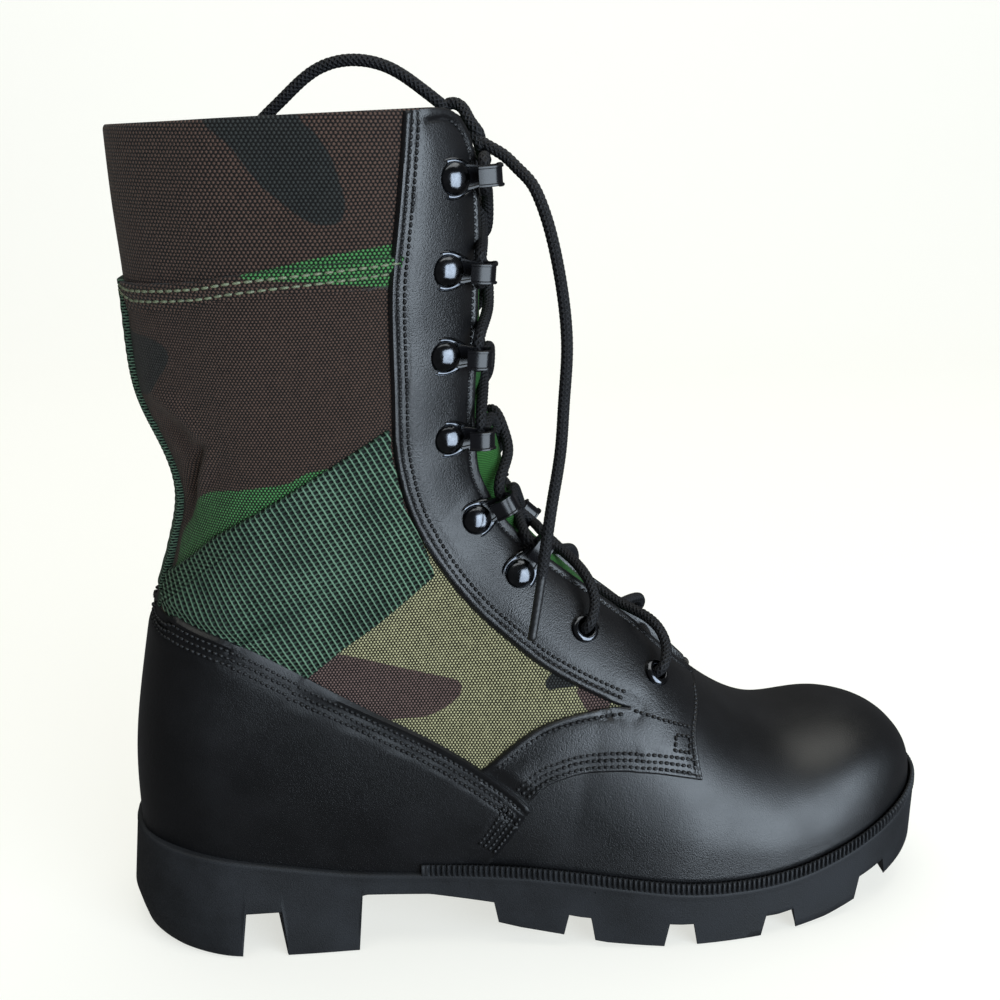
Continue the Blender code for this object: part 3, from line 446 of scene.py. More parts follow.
def spread(line, at):
    """Points of a line of s and t at the shares of its length in at."""
    line = np.asarray(line, float)
    length = run_along(line * [1.0, T_WEIGHT])
    return at_lengths(line, length, np.asarray(at) * length[-1])


def fill(low, top, left, right):
    """A grid that blends four border lines: the two blends along and across, less the blend of the
    corners."""
    u = np.linspace(0, 1, len(low))[:, None, None]
    v = np.linspace(0, 1, len(left))[None, :, None]
    along = (1 - v) * low[:, None] + v * top[:, None]
    across = (1 - u) * left[None] + u * right[None]
    return along + across - (1 - u) * ((1 - v) * low[0] + v * top[0]) - u * ((1 - v) * low[-1] + v * top[-1])


def cut_grid(low, top, along, across, left=None, right=None):
    """A grid between the cut edges of a piece, at the shares along and across; a border not given is
    straight."""
    left = [low[0], top[0]] if left is None else left
    right = [low[-1], top[-1]] if right is None else right
    return fill(spread(low, along), spread(top, along), spread(left, across), spread(right, across))


def nearest(points, line):
    """Distance from each point to a line of points, and how far along it (0 to 1): the nearest of its
    stretches."""
    line = np.asarray(line, float)
    a, ab = line[:-1], np.diff(line, axis=0)
    square = np.maximum((ab * ab).sum(-1), 1e-12)
    steps = np.concatenate([[0], np.cumsum(np.sqrt(square))])
    gap, along = np.empty(len(points)), np.empty(len(points))
    for part in np.array_split(np.arange(len(points)), 1 + len(points) * len(a) // CHUNK):
        away = points[part][:, None] - a
        u = np.clip((away * ab).sum(-1) / square, 0, 1)
        away = ((away - u[..., None] * ab) ** 2).sum(-1)
        best = np.argmin(away, 1)
        row = np.arange(len(part))
        gap[part] = np.sqrt(away[row, best])
        along[part] = (steps[best] + u[row, best] * np.sqrt(square[best])) / steps[-1]
    return gap, along


def inset_line(line, side, offset):
    """A line of s and t moved sideways over the face by offset millimetres (to the left of its run when
    positive): the sideways step is split into steps of s and t with the face's own two slopes."""
    s, t = np.asarray(line, float).T
    place = upper_face(s, t, side)
    by_s = (upper_face(s + FACE_STEP, t, side) - place) / FACE_STEP
    by_t = (place - upper_face(s, t - FACE_STEP, side)) / FACE_STEP
    ahead = np.gradient(place, axis=0)
    out = np.cross(by_s, by_t)
    out *= (np.sign(out[:, 1]) * SIDES[side]["sign"])[:, None]
    sideways = np.cross(out, ahead)
    sideways *= offset / np.maximum(np.linalg.norm(sideways, axis=1), 1e-9)[:, None]
    ss, st, tt = (by_s * by_s).sum(1), (by_s * by_t).sum(1), (by_t * by_t).sum(1)
    fs, ft = (by_s * sideways).sum(1), (by_t * sideways).sum(1)
    det = np.maximum(ss * tt - st * st, 1e-9)
    return np.stack([s + (fs * tt - ft * st) / det, t + (ft * ss - fs * st) / det], 1)


def face_normal(s, t, side):
    """Outward unit normals of the face, from the cross product of its two slopes."""
    by_s = upper_face(s + FACE_STEP, t, side) - upper_face(s - FACE_STEP, t, side)
    by_t = upper_face(s, t + FACE_STEP, side) - upper_face(s, t - FACE_STEP, side)
    out = np.cross(by_s, by_t)
    out *= (np.sign(out[..., 1]) * SIDES[side]["sign"])[..., None]
    return unit(out)


# %% [markdown]
# ## Shader maths
# Finishes are written as sums and products of patterns, as one would on paper. The class below wraps one
# output of a shader node, so that `1 - grain * 0.3` adds the Math nodes itself. Building the same tree by
# hand in the Shader Editor gives the same result but can't be read as a formula.


# %% A socket that does arithmetic
class Strand:
    """One socket of a finish. Operators add Math nodes; node() adds any other node."""

    def __init__(self, tree, socket=None):
        self.tree, self.socket = tree, socket

    def node(self, kind, settings=None, values=None, take=0):
        """A node of this kind: settings are set first (stops fill a ramp), then a value or a link for each
        socket."""
        made = self.tree.nodes.new("ShaderNode" + kind)
        for key, value in (settings or {}).items():
            if key == "stops":
                while len(made.color_ramp.elements) < len(value):
                    made.color_ramp.elements.new(1.0)
                for stop, (place, colour) in zip(made.color_ramp.elements, value):
                    stop.position, stop.color = place, colour
            else:
                setattr(made, key, value)
        for key, value in (values or {}).items():
            if isinstance(value, Strand):
                self.tree.links.new(value.socket, made.inputs[key])
            else:
                made.inputs[key].default_value = value
        return Strand(self.tree, made.outputs[take])

    def math(self, operation, *others):
        """A Math node of this operation on this socket and the others."""
        return self.node("Math", {"operation": operation}, dict(enumerate((self, *others))))

    def __add__(self, other):
        return self.math("ADD", other)

    def __sub__(self, other):
        return self.math("SUBTRACT", other)

    def __rsub__(self, other):
        return self.math("MULTIPLY_ADD", -1.0, other)

    def __mul__(self, other):
        return self.math("MULTIPLY", other)

    __radd__, __rmul__ = __add__, __mul__

    def wave(self, pitch, kind="SINE"):
        """A wave of -1 to 1 that repeats at every pitch."""
        return (self * (2 * math.pi / pitch)).math(kind)

    def parts(self):
        """The x, y and z of a vector."""
        x = self.node("SeparateXYZ", None, {0: self})
        return [x] + [Strand(self.tree, x.socket.node.outputs[i]) for i in (1, 2)]

    def between(self, low, high):
        """0 below low, 1 above high, eased between them."""
        return self.node("MapRange", {"interpolation_type": "SMOOTHSTEP"}, {0: self, 1: low, 2: high})

    def blend(self, first, second):
        """The first colour where this is 0, the second where it is 1."""
        return self.node("Mix", {"data_type": "RGBA"}, {0: self, 6: first, 7: second}, 2)

    def times(self, colour):
        """This colour multiplied by another."""
        return self.node("Mix", {"data_type": "RGBA", "blend_type": "MULTIPLY"},
                         {0: 1.0, 6: self, 7: colour}, 2)


def rgb(red, green, blue):
    """A screen colour of 0 to 255 as the linear colour that a shader takes."""
    screen = np.array([red, green, blue]) / 255
    linear = np.where(screen <= 0.04045, screen / 12.92, ((screen + 0.055) / 1.055) ** 2.4)
    return (*linear.tolist(), 1.0)


def make_finish(name, pattern, **constant):
    """A finish from a function that returns its varying inputs; bump is a height in millimetres."""
    made = bpy.data.materials.new(name)
    made.use_nodes = True
    tree = made.node_tree
    shader = tree.nodes["Principled BSDF"]
    for key, value in constant.items():
        shader.inputs[key.replace("_", " ").title().replace("Ior", "IOR")].default_value = value
    varying = pattern(Strand(tree))
    height = varying.pop("bump", None)
    if height is not None:
        varying["Normal"] = height.node("Bump", None, {"Strength": 1.0, "Distance": MM, "Height": height})
    for key, value in varying.items():
        if isinstance(value, Strand):
            tree.links.new(value.socket, shader.inputs[key])
        else:
            shader.inputs[key].default_value = value
    return made


def place_of(strand):
    """Object coordinates in millimetres."""
    here = strand.node("TexCoord", None, None, 3)
    return strand.node("VectorMath", {"operation": "SCALE"}, {0: here, "Scale": 1 / MM})


def noise(strand, size, detail=2.0):
    """A cloud pattern of 0 to 1 whose patches are about size millimetres across."""
    return strand.node("TexNoise", None, {"Vector": place_of(strand), "Scale": 1 / size, "Detail": detail})


print("shader helpers ready")

# %% [markdown]
# ## Camera, floor and light
# The camera stands where the boot was seen from: on its lateral side, a little behind the middle, looking
# slightly down. Black leather shows its form through what it mirrors, so there is one big cool window ahead
# of the toe on the camera's side, which the vamp, the eyestay and the domes of the hooks mirror, and a dim
# ceiling. The white sweep glows a little, as a light table does, so that the shadow under the boot stays
# soft, and mirror rays pass through it: a white floor mirrored in the counter would turn the black leather
# grey. A single sun would be simpler, but it leaves black leather without form.

# %% Camera
camera = put("camera", bpy.data.cameras.new("camera"))
yaw, pitch = math.radians(6.0), math.radians(17.4)
camera.location = (-0.0581, -0.4302, 0.2950)
camera.rotation_euler = (math.pi / 2 - pitch, 0.0, -yaw)
SENSOR, FOCAL = 36.0, 1.230  # the sensor in millimetres, the focal length in picture widths
camera.data.sensor_width, camera.data.lens = SENSOR, SENSOR * FOCAL
camera.data.clip_start, camera.data.clip_end = 0.01, 50.0
bpy.context.scene.camera = camera
print("camera at", tuple(camera.location))

# %% Floor and light
def plain_pattern(colour, rough):
    """A plain colour: a large cloud darkens it by up to 1.5 percent."""
    def pattern(strand):
        cloud = noise(strand, 60.0)
        return {"Base Color": cloud.blend([c * 0.985 for c in colour[:3]] + [1], colour), "Roughness": rough}
    return pattern


FLOOR_FRONT, BEND_FROM, BEND_R, WALL_TOP, FLOOR_HALF = -3000.0, 1000.0, 700.0, 3200.0, 3500.0
bend = np.linspace(0, np.pi / 2, 16)
curve = np.stack([BEND_FROM + BEND_R * np.sin(bend), BEND_R * (1 - np.cos(bend))], 1)
sweep = np.concatenate([[(FLOOR_FRONT, 0.0)], curve, [(BEND_FROM + BEND_R, WALL_TOP)]])
across = np.linspace(-FLOOR_HALF, FLOOR_HALF, 3)
points = np.stack(np.broadcast_arrays(across[:, None], sweep[None, :, 0], sweep[None, :, 1]), -1)
floor = put_mesh("floor", points.reshape(-1, 3), grid_quads(3, len(sweep)))
floor_paper = make_finish("pale_floor", plain_pattern((0.36, 0.355, 0.34, 1), 0.9), specular_ior_level=0.0,
                          emission_color=(0.99, 1.0, 0.945, 1), emission_strength=0.665)
floor.data.materials.append(floor_paper)
floor.visible_glossy = False


def soft_light(name, place, look_at, width, height, power, colour):
    """A rectangular light at a place, turned to look at a point."""
    data = bpy.data.lights.new(name, "AREA")
    data.shape, data.size, data.size_y, data.energy, data.color = "RECTANGLE", width, height, power, colour
    made = put(name, data)
    made.location = place
    made.rotation_euler = (Vector(look_at) - Vector(place)).to_track_quat("-Z", "Y").to_euler()


soft_light("ceiling", place=(0.0, 0.1, 2.0), look_at=(0.0, 0.05, 0.0), width=2.4, height=1.7, power=29.0,
           colour=(1.0, 1.0, 0.93))
soft_light("window", place=(0.90, -1.30, 0.08), look_at=(0.0, 0.0, 0.08), width=1.5, height=1.9, power=80.0,
           colour=(0.76, 0.88, 1.0))
world = bpy.data.worlds.new("room")
bpy.context.scene.world = world
world.use_nodes = True
sky = world.node_tree.nodes["Background"].inputs
sky["Color"].default_value = (0.95, 0.97, 1.0, 1)
sky["Strength"].default_value = 0.09
bpy.context.scene.view_settings.view_transform = "Standard"

# %% [markdown]
# ## Hooks and eyelets: where they sit
# Each fitting is riveted to the facing, so it has its own little frame: forward to the throat, along the
# throat's edge, and straight out. The lace needs the same frames, because it runs through every one of
# them, so they come before the lace.

# %% Frames of the fittings
LAYER_GAP, LEATHER, HARDWARE_GAP = 0.7, 1.5, 0.5
EYELETS = [(40.2, 98.8), (13.6, 116.7)]
HOOKS = [(-7.7, 139.5), (-22.4, 159.6), (-31.6, 189), (-32.8, 218.3), (-31.9, 246.7), (-29.8, 275.6)]


def fitting_frame(spot, side):
    """Place and axes (forward, along the edge, out) of a fitting: the face's normal, the throat edge's run,
    and the direction square to both."""
    s, t = on_cut([spot[0]], [spot[1]])[0]
    out, step = -(LAYER_GAP + LEATHER + HARDWARE_GAP), 0.02
    place = upper_face(s, t, side, out)
    across = upper_face(s, t + step, side, out) - upper_face(s, t - step, side, out)
    along = upper_face(s + step, t, side, out) - upper_face(s - step, t, side, out)
    normal = np.cross(across, along)
    normal = unit(normal * SIDES[side]["sign"] * np.sign(normal[1]))
    below, above = (upper_face(cut, throat_t(cut, side), side) for cut in (s - step, s + step))
    edge = unit(above - below - normal * ((above - below) @ normal))
    forward = np.cross(edge, normal)
    forward *= np.sign(forward @ across)
    return place, forward, edge, normal


FRAMES = {(side, spot): fitting_frame(spot, side) for side in SIDES for spot in EYELETS + HOOKS}
print("fittings:", len(FRAMES))

# %% [markdown]
# ## The lace
# A boot lace is a tube of braided yarn, here about 4 mm thick. The braid is two sets of yarns that wind
# round the lace in opposite turns and pass over and under each other, so the surface is a pattern of small
# slanted bumps. A tube carried along a smooth path gets that relief from two crossing waves. The two free
# lengths come first: one hangs down in front and ends in a hard tip, the other goes over the collar and
# hangs inside the shaft.

# %% A braided tube along a path
LACE_R, BRAID_PITCH, BRAID_YARNS, BRAID_TURNS, BRAID_DEPTH = 2.0, 5.4, 6, 3, 0.24
TUBE_R, TUBE_STEP, COARSE_STEP = LACE_R - 0.05, 0.42, 0.6
END_RINGS = ((0.35, 0.86), (0.6, 0.5), (0.68, 0.0))  # how far on and how wide, as shares of the radius


def smooth_path(points, step):
    """Points every step millimetres along one cubic curve through the given points."""
    points = np.asarray(points, float)
    at = run_along(points)
    fine = np.linspace(0, at[-1], int(at[-1] * 8))
    line = curve_through(points, at, fine)
    length = run_along(line)
    even = np.linspace(0, length[-1], max(8, int(length[-1] / step)) + 1)
    return at_lengths(line, length, even)


def carried_frames(path):
    """Two directions square to a path that don't twist about it: each ring's are the last ring's, made
    square."""
    ahead = unit(np.gradient(path, axis=0))
    first = np.cross(ahead[0], [0.31, 0.2, 0.93])
    sides = np.empty_like(path)
    for i, direction in enumerate(ahead):
        first = unit(first - direction * (first @ direction))
        sides[i] = first
    return ahead, sides, np.cross(ahead, sides)


def tube(path, radius, around, relief=None):
    """Rings of a round section along a path. relief(length, angle) is added to the radius, and both ends
    close by shrinking to a point over three rings."""
    ahead, side, other = carried_frames(path)
    length, angle = run_along(path), turns(around)
    radius = np.broadcast_to(np.asarray(radius, float), len(path))
    size = radius[:, None] + np.zeros((1, around))
    if relief is not None:
        size = size + relief(length[:, None], angle[None, :])
    turned = np.cos(angle)[None, :, None] * side[:, None] + np.sin(angle)[None, :, None] * other[:, None]
    rings = path[:, None] + size[..., None] * turned
    caps = [[path[i] + sign * ahead[i] * on * radius[i] + (rings[i] - path[i]) * wide
             for on, wide in END_RINGS] for i, sign in ((0, -1), (-1, 1))]
    rings = np.concatenate([caps[0][::-1], rings, caps[1]])
    run = np.pad(length, len(END_RINGS), "edge")
    uv = np.stack(np.broadcast_arrays(run[:, None], angle[None, :] * LACE_R), -1)
    return rings.reshape(-1, 3), grid_quads(len(rings), around, 0, True), uv.reshape(-1, 2)


def braid(length, angle):
    """Two sets of yarns winding in opposite turns: each is a rounded ridge, and they take turns on top."""
    turn = BRAID_TURNS * 2 * np.pi * length / BRAID_PITCH
    one, two = np.cos(BRAID_YARNS * angle - turn), np.cos(BRAID_YARNS * angle + turn)
    return BRAID_DEPTH * (np.maximum(one, two) - 0.55)


# %% The free ends
FRONT_END = [(-21, -7, 287), (-17.4, -9, 284.9), (-12.8, -11, 282.2), (-8.4, -14, 278), (-4.8, -17, 274.2),
             (-1.8, -20, 268.3), (3.3, -25, 249.4), (5.6, -28, 234), (6.2, -31, 220.4), (5, -34, 204.1),
             (3.6, -37, 187.7), (0.5, -41, 171.2), (-2.4, -45, 154.5), (-5.2, -48, 137.2), (-7.2, -50, 125.9)]
INSIDE_END = [(-31.5, -1, 297.4), (-35.6, -2, 300.5), (-39.5, -2, 303.4), (-49.3, 0, 309.6),
              (-63.4, 3, 312.1), (-73.6, 6, 309.2), (-85.2, 9, 300), (-93.5, 10, 292.4), (-101, 10, 283),
              (-106, 8, 268), (-109, 5, 250), (-110, 2, 232)]
TIP_LENGTH = 22.0


def lace_pattern(strand):
    """Black yarn, flecked by fine fibres: painted highlight makes the crowns of the braid paler and painted
    shade darkens the gaps between the yarns.
    """
    along, round_it, _ = strand.node("UVMap", {"uv_map": "UVMap"}).parts()
    angle, turn = round_it * (BRAID_YARNS / LACE_R), along * (2 * math.pi / BRAID_PITCH * BRAID_TURNS)
    one, two = (angle - turn).math("COSINE"), (angle + turn).math("COSINE")
    yarn = one.math("MAXIMUM", two) * 0.5 + 0.5
    fibre = noise(strand, 0.25)
    # painted highlight on the braid's crowns and painted shade in its gaps, flecked by random fibre tone
    tone = (yarn * 0.75 + fibre * 0.3).between(0.6, 1.0)
    return {"Base Color": tone.blend(rgb(3, 3, 4), rgb(27, 27, 31)), "Roughness": fibre * 0.3 + 0.5,
            "bump": yarn * 0.3 + fibre * 0.1}


lace_finish = make_finish("braided_lace", lace_pattern, specular_ior_level=0.32)


def lace_piece(name, path, node, around=30):
    """A braided length of lace along a path, which stands for its solid."""
    return dress(put_mesh(name, *tube(path, TUBE_R, around, braid), sharp=80), [lace_finish], "lace", node)


front_path, inside_path = smooth_path(FRONT_END, COARSE_STEP), smooth_path(INSIDE_END, TUBE_STEP)
tip_rows = int(TIP_LENGTH / COARSE_STEP)
front_cut = front_path[:-tip_rows]
front_end = lace_piece("lace_end_in_front", front_cut, "lace_end_front")
inside_end = lace_piece("lace_end_in_shaft", inside_path, "lace_end_inside")

# %% The hard tip of the front end
def tip_pattern(strand):
    """Dark plastic film wound tight on the lace, with faint rings where it shrank."""
    cloud = noise(strand, 1.5)
    return {"Base Color": cloud.blend(rgb(9, 9, 10), rgb(24, 24, 26)), "Roughness": cloud * 0.25 + 0.36,
            "bump": cloud * 0.05}


tip_path = front_path[-tip_rows - 2:]
run = np.linspace(0, 1, len(tip_path))
thin = 1.8 - 0.25 * ease(run * 6) + 0.05 * np.sin(run * 60)
lace_tip = dress(put_mesh("lace_tip", *tube(tip_path, thin, 18)), [make_finish("tip_film", tip_pattern)],
                 "lace")


def path_length(path):
    """Length of a path in metres: the sum of its steps."""
    return float(run_along(path)[-1]) * MM


path_length(front_cut)
path_length(inside_path)
print("lace ends:", [round(path_length(path), 3) for path in (front_path, inside_path)], "m")

# %% [markdown]
# ## The lace through its eyelets and hooks
# The lace starts as a bar across the foot of the throat, under the facings. Each half comes out of its
# lowest eyelet, goes over the facing's edge, crosses the tongue and passes under the other facing to the
# next eyelet. Above the eyelets it only drops into the channels of the hooks, from side to side, up to the
# knot.

# %% Both halves of the lace
TONGUE_GAP, CROWN, INSTEP_CROWN, INSTEP_CUT, CROWN_CUT = 1.8, 3.2, 4.3, 8.8, 3.9
# offsets from a fitting: out, forward, along the edge
BAR_END, UNDER_FACING = (-6.4, 9.0, 0.0), (-6.6, 8.5, -2.0)
THROUGH_HOLE = [(-5.6, 1.6, 0), (-1, 0, 0), (3, 0.8, 0.2)]
OVER_EDGE, MEDIAL_LIFT = [(4.4, 5.0, 0.8), (4.6, 10.0, 2.6), (3.8, 14.5, 6.0)], 0.55
HOOK_CHANNEL = [(3.7, 7, -2.6), (3.7, 7, 0), (3.7, 7, 2.6)]


def tongue_crown(s):
    """How far the tongue swells out between the facings: a steady part and a bell over the instep, from
    zero at the foot of the throat."""
    return (CROWN + INSTEP_CROWN * bell(s - INSTEP_CUT, 1.7)) * ease((s - CROWN_CUT) / 1.4)


def on_ridge(near, over, cuts):
    """A point over the middle of the tongue, where its crown passes nearest to a point."""
    s = np.linspace(*cuts, 300)
    x, z = ridge_line(s, WALL + TONGUE_GAP - tongue_crown(s) - over)
    best = np.argmin(np.hypot(x - near[0], z - near[2]))
    return np.array([x[best], 0.0, z[best]])


def on_tongue(s, side, away, over):
    """A point of the tongue's crown on cut s, this far from the ridge and over the crown."""
    return upper_face(s, ridge_t(s, side, away), side, WALL + TONGUE_GAP - tongue_crown(s) - over)


def from_fitting(frame, offsets):
    """Points at these offsets from a fitting."""
    place, forward, edge, normal = frame
    return list(place + np.array(offsets) @ np.stack([normal, forward, edge]))


def through_eyelet(side, spot, approach):
    """Points of the lace that comes up through an eyelet and goes over the facing's edge."""
    lift = 1.0 if side == "lateral" else MEDIAL_LIFT
    over = [(out * lift, forward, along) for out, forward, along in OVER_EDGE]
    return from_fitting(FRAMES[side, spot], [approach] + THROUGH_HOLE + over)


def lace_route(first):
    """Points of one half: up through the eyelets from inside, then from side to side through the hooks."""
    order = [first, "medial" if first == "lateral" else "lateral"]
    level = on_cut(*np.array(EYELETS + HOOKS).T)[:, 0]
    over_other, over = (3.8, 1.0) if first == "lateral" else (0.4, 3.2)
    start = on_ridge(FRAMES[first, EYELETS[0]][0], 2.0, (level[0] - 0.5, level[0] + 0.5))
    route = [start + [0, -0.5 * SIDES[first]["sign"], 0], *through_eyelet(first, EYELETS[0], BAR_END)]
    midway = (route[-1] + FRAMES[order[1], EYELETS[1]][0]) / 2
    route += [on_ridge(midway, over_other, (level[0], level[1] + 0.6))]
    route += through_eyelet(order[1], EYELETS[1], UNDER_FACING)
    for i, spot in enumerate(HOOKS):
        here, there = order[i % 2], order[(i + 1) % 2]
        crossing = ((0.26, there, 5.0), (0.5, first, 0.0), (0.74, here, 5.0))[i == 0:]
        route += [on_tongue(level[i + 1] + (level[i + 2] - level[i + 1]) * share, side, away, over)
                  for share, side, away in crossing]
        route += from_fitting(FRAMES[here, spot], HOOK_CHANNEL)
    return np.array(route)


KNOT_HEART = np.array([-20.6, -3.0, 287.0])
for half in SIDES:
    route = np.vstack([lace_route(half), KNOT_HEART + [1.8, 3.0 * SIDES[half]["sign"], -5.0], KNOT_HEART])
    lace_piece("lace_" + half + "_half", smooth_path(route, COARSE_STEP), "lace_crossings", around=22)

# %% The knot
KNOT = [(-20, -3, 286.5), (-21, -6.5, 289.6), (-23.6, -5.5, 293.2), (-25.8, -3, 297.2), (-28.8, -1, 298.6),
        (-31.2, 0.5, 297.6), (-31, 2.5, 295.2), (-28, 1.5, 293.4), (-24.6, -2, 290.8), (-22, -6.5, 288.2),
        (-20, -8, 285)]
lace_piece("lace_knot_tied", smooth_path(KNOT, TUBE_STEP), "lace_knot")

# %% [markdown]
# ## The sole
# The sole is one moulding of black rubber: a slab with a lip round the upper, and lugs that stand down from
# it with deep grooves between. It is a grid of stations along the boot and columns across: the height of
# its underside steps between the lugs' ground and the grooves' ceiling, and a wall runs from its edge up to
# the rim. Booleans with a block for each groove would work, but one height function keeps the walls, bevels
# and draft angles clean.

# %% Tables of the tread
CEILING = [(-157, 16.8), (-80, 16.8), (-66.5, 22), (-43, 21.7), (-21, 18.3), (-5, 15.5), (12, 12.5), (49, 9),
           (87, 8), (108, 10.6), (128, 15), (145, 19.4), (157, 22)]
GROUND = [(-157, 5), (-147, 2.6), (-134, 1.2), (-118, 0.4), (-100, 0), (-66, 0), (-50, 12), (-18, 9.6),
          (-10, 7.6), (6, 4.8), (22, 1.8), (43, 0), (84, 0), (95, 0.6), (108, 1.8), (121, 4.6), (136, 9.6),
          (146, 12.6), (157, 17.5)]
LUGS = [(-162, -112), (-95.5, -69.4), (-18, 6), (17.5, 43), (55.5, 80.5), (95, 121), (136, 167)]
CENTRE_LUGS = [(-142, -82), (-8, 14), (26, 48), (64, 86), (102, 126)]
LUG_DRAFT, LUG_SLANT, HEEL_FLARE, HEEL_BEVEL, LIP_GAP = 1.7, 9.0, 4.5, 4.0, 1.2
RAND_START, RAND_WALL = -46.0, 1.7
CENTRE_OUT, SIDE_IN, SHARE_DRAFT = 0.285, 0.33, 0.015  # shares of the half width


def heel_part(x):
    """1 at the back edge, easing to 0 over the heel's length."""
    return 1 - ease((x - HEEL_X) / HEEL_RUN)


def wall_inset(x, z):
    """How far the wall stands in from the rim's outline; the heel's wall flares toward the floor."""
    return -HEEL_FLARE * (1 - ease((x + 95) / 70)) * (1 - z / rim(x))


def lug_share(x, spans):
    """1 on a lug, 0 in a groove, with a straight draft between them."""
    rises = [np.clip((x - a + LUG_DRAFT) / LUG_DRAFT, 0, 1) * np.clip((b + LUG_DRAFT - x) / LUG_DRAFT, 0, 1)
             for a, b in spans]
    return np.max(rises, axis=0)


# %% The outsole
edges = np.array([v for a, b in LUGS + CENTRE_LUGS for v in (a - LUG_DRAFT, a, b, b + LUG_DRAFT)])
edges = np.concatenate([edges, edges + 0.35, edges - 0.35])
heel_rows = HEEL_X + HEEL_RUN * (1 - np.cos(np.linspace(0, 1.4, 40)))
toe_rows = TOE_X - 62 * (1 - np.cos(np.linspace(0, 1.4, 48)))
stations = np.unique(np.round(np.concatenate([edges, heel_rows, toe_rows, np.arange(-110, 100, 2.0)]), 2))
stations = stations[(stations >= HEEL_X) & (stations <= TOE_X)]
stations = stations[np.concatenate([[True], np.diff(stations) > 0.12])]
away = np.array([0.0, 0.15, 0.255, 0.27, 0.285, 0.33, 0.345, 0.36, 0.39, 0.5, 0.65, 0.8, 0.9, 0.96])
ceiling, ground = broken_line(CEILING, stations), broken_line(GROUND, stations)
slant = LUG_SLANT * (ease((stations + 40) / 25) * (1 - ease((stations - 112) / 30)) - bell(stations + 92, 16))
side_lug, centre_lug = lug_share(stations, LUGS), lug_share(stations, CENTRE_LUGS)


def tread_column(side, share):
    """One column of the underside: centre lugs near the middle, side lugs further out, a draft on each."""
    raised = centre_lug * np.clip((CENTRE_OUT - share) / SHARE_DRAFT, 0, 1)
    raised = raised + side_lug * np.clip((share - SIDE_IN) / SHARE_DRAFT, 0, 1)
    z = ceiling + (ground - ceiling) * raised
    inset = wall_inset(stations, z) + HEEL_BEVEL * heel_part(stations) * raised
    px, py = plan_point(stations, side, inset, inset[0], 0.0, share)
    return np.stack([px + slant * (1 - share), py, z], -1), inset, z


def sole_column(side, inset, toe_inset, z):
    """One column of the sole's wall: the plan's edge, drawn in, at a height."""
    return np.stack([*plan_point(stations, side, inset, inset[0], toe_inset), z], -1)


def sole_half(side):
    """One half of the sole as a grid: columns from the middle outward, round the bevel, up the wall, over
    the lip and down to the bed."""
    columns = [tread_column(side, share)[0] for share in away]
    _, inset, z_low = tread_column(side, 1.0)
    body = rim(stations) - z_low
    for drop, draw in ((0.0, 0.9), (0.25, 0.35), (0.8, 0.0)):
        columns.append(sole_column(side, inset + draw, draw * 0.4, z_low + drop))
    for share in (0.12, 0.3, 0.5, 0.7, 0.84):
        z = z_low + 0.8 + (body - 0.8) * share
        blend = inset + (wall_inset(stations, z) - inset) * ease(share / 0.3)
        columns.append(sole_column(side, blend, 0.0, z))
    for drop, draw in ((3.0, 0.0), (1.6, -0.1), (0.8, -0.1), (0.35, 0.15), (0.1, 0.5), (0.0, 0.9)):
        z = rim(stations) - drop
        columns.append(sole_column(side, wall_inset(stations, z) + draw, max(draw, 0.0), z))
    lip = margin(stations) - LIP_GAP
    for share, height in ((1.0, rim), (1.0, bed), (0.0, bed)):
        px, py = plan_point(stations, side, lip, lip[0], RAND_WALL, share)
        columns.append(np.stack([px, py, height(px)], -1))
    return np.stack(columns, 1)


def rubber_pattern(strand):
    """Moulded rubber: nearly black, matt, with fine grain and faint flow marks, a little paler in random
    patches."""
    grain, cloud = noise(strand, 0.5, 3.0), noise(strand, 18.0, 4.0)
    tone = (grain * 0.35 + cloud * 0.65).between(0.3, 0.75)
    return {"Base Color": tone.blend(rgb(17, 18, 20), rgb(29, 31, 35)), "Roughness": cloud * 0.25 + 0.5,
            "bump": grain * 0.10 + cloud * 0.05}


rubber = make_finish("sole_rubber", rubber_pattern, specular_ior_level=0.35)
points, quads = joined([sole_half(side) for side in SIDES])
dress(put_mesh("moulded_sole", points, quads, sharp=32), [rubber], "rubber", "outsole")

# %% [markdown]
# ## The ribbed rand
# Where the sole's rim meets the upper, a thin strip with upright ribs runs round the front. Its section is
# carried along the edge of the plan, and every rib is one wave of its outer face. Separate little blocks
# would look cut; moulded ribs blend into each other.

# %% The rand
RIB_PITCH, RIB_DEPTH = 1.95, 1.25
RIB_STEP = RIB_PITCH / 7
RAND_SECTION = ((0.35, -0.4), (0.0, 0.25), (0.05, 1.6), (0.1, 2.7), (0.28, 3.35), (0.62, 3.75), (1.1, 3.85),
                (1.7, 3.6), (1.9, -0.4))  # inset and height


def edge_walk(x_start, step):
    """Stations (x, side) evenly spaced along the plan's edge, from the lateral side round the toe."""
    x = x_start + (TOE_X - x_start) * np.sin(np.linspace(0, 1, 900) * np.pi / 2)
    walk = []
    for side in SIDES:
        length = run_along(np.stack(plan_point(x, side, 0.0, 0.0, 0.0), 1))
        walk.append(np.interp(np.linspace(0, length[-1], int(length[-1] / step) + 1), length, x))
    return walk


def rand_half(side, x, step):
    """The strip's section at each station: a foot, a ribbed face that leans in, a rounded top and a back."""
    wave = np.cos(2 * np.pi * np.arange(len(x)) * step / RIB_PITCH)
    rib = RIB_DEPTH * (0.5 - 0.5 * np.clip(wave * 2.0 + 0.7, -1, 1))
    fade = ease((x - x[0]) / 4.0)
    low, rows = rim(x), []
    for inset, height in RAND_SECTION:
        depth = inset + rib * (0.2 < height < 3.8) * (inset < 1) * fade - 0.3
        rows.append(np.stack([*plan_point(x, side, depth, 0.0, depth), low + height], -1))
    return np.stack(rows, 1)


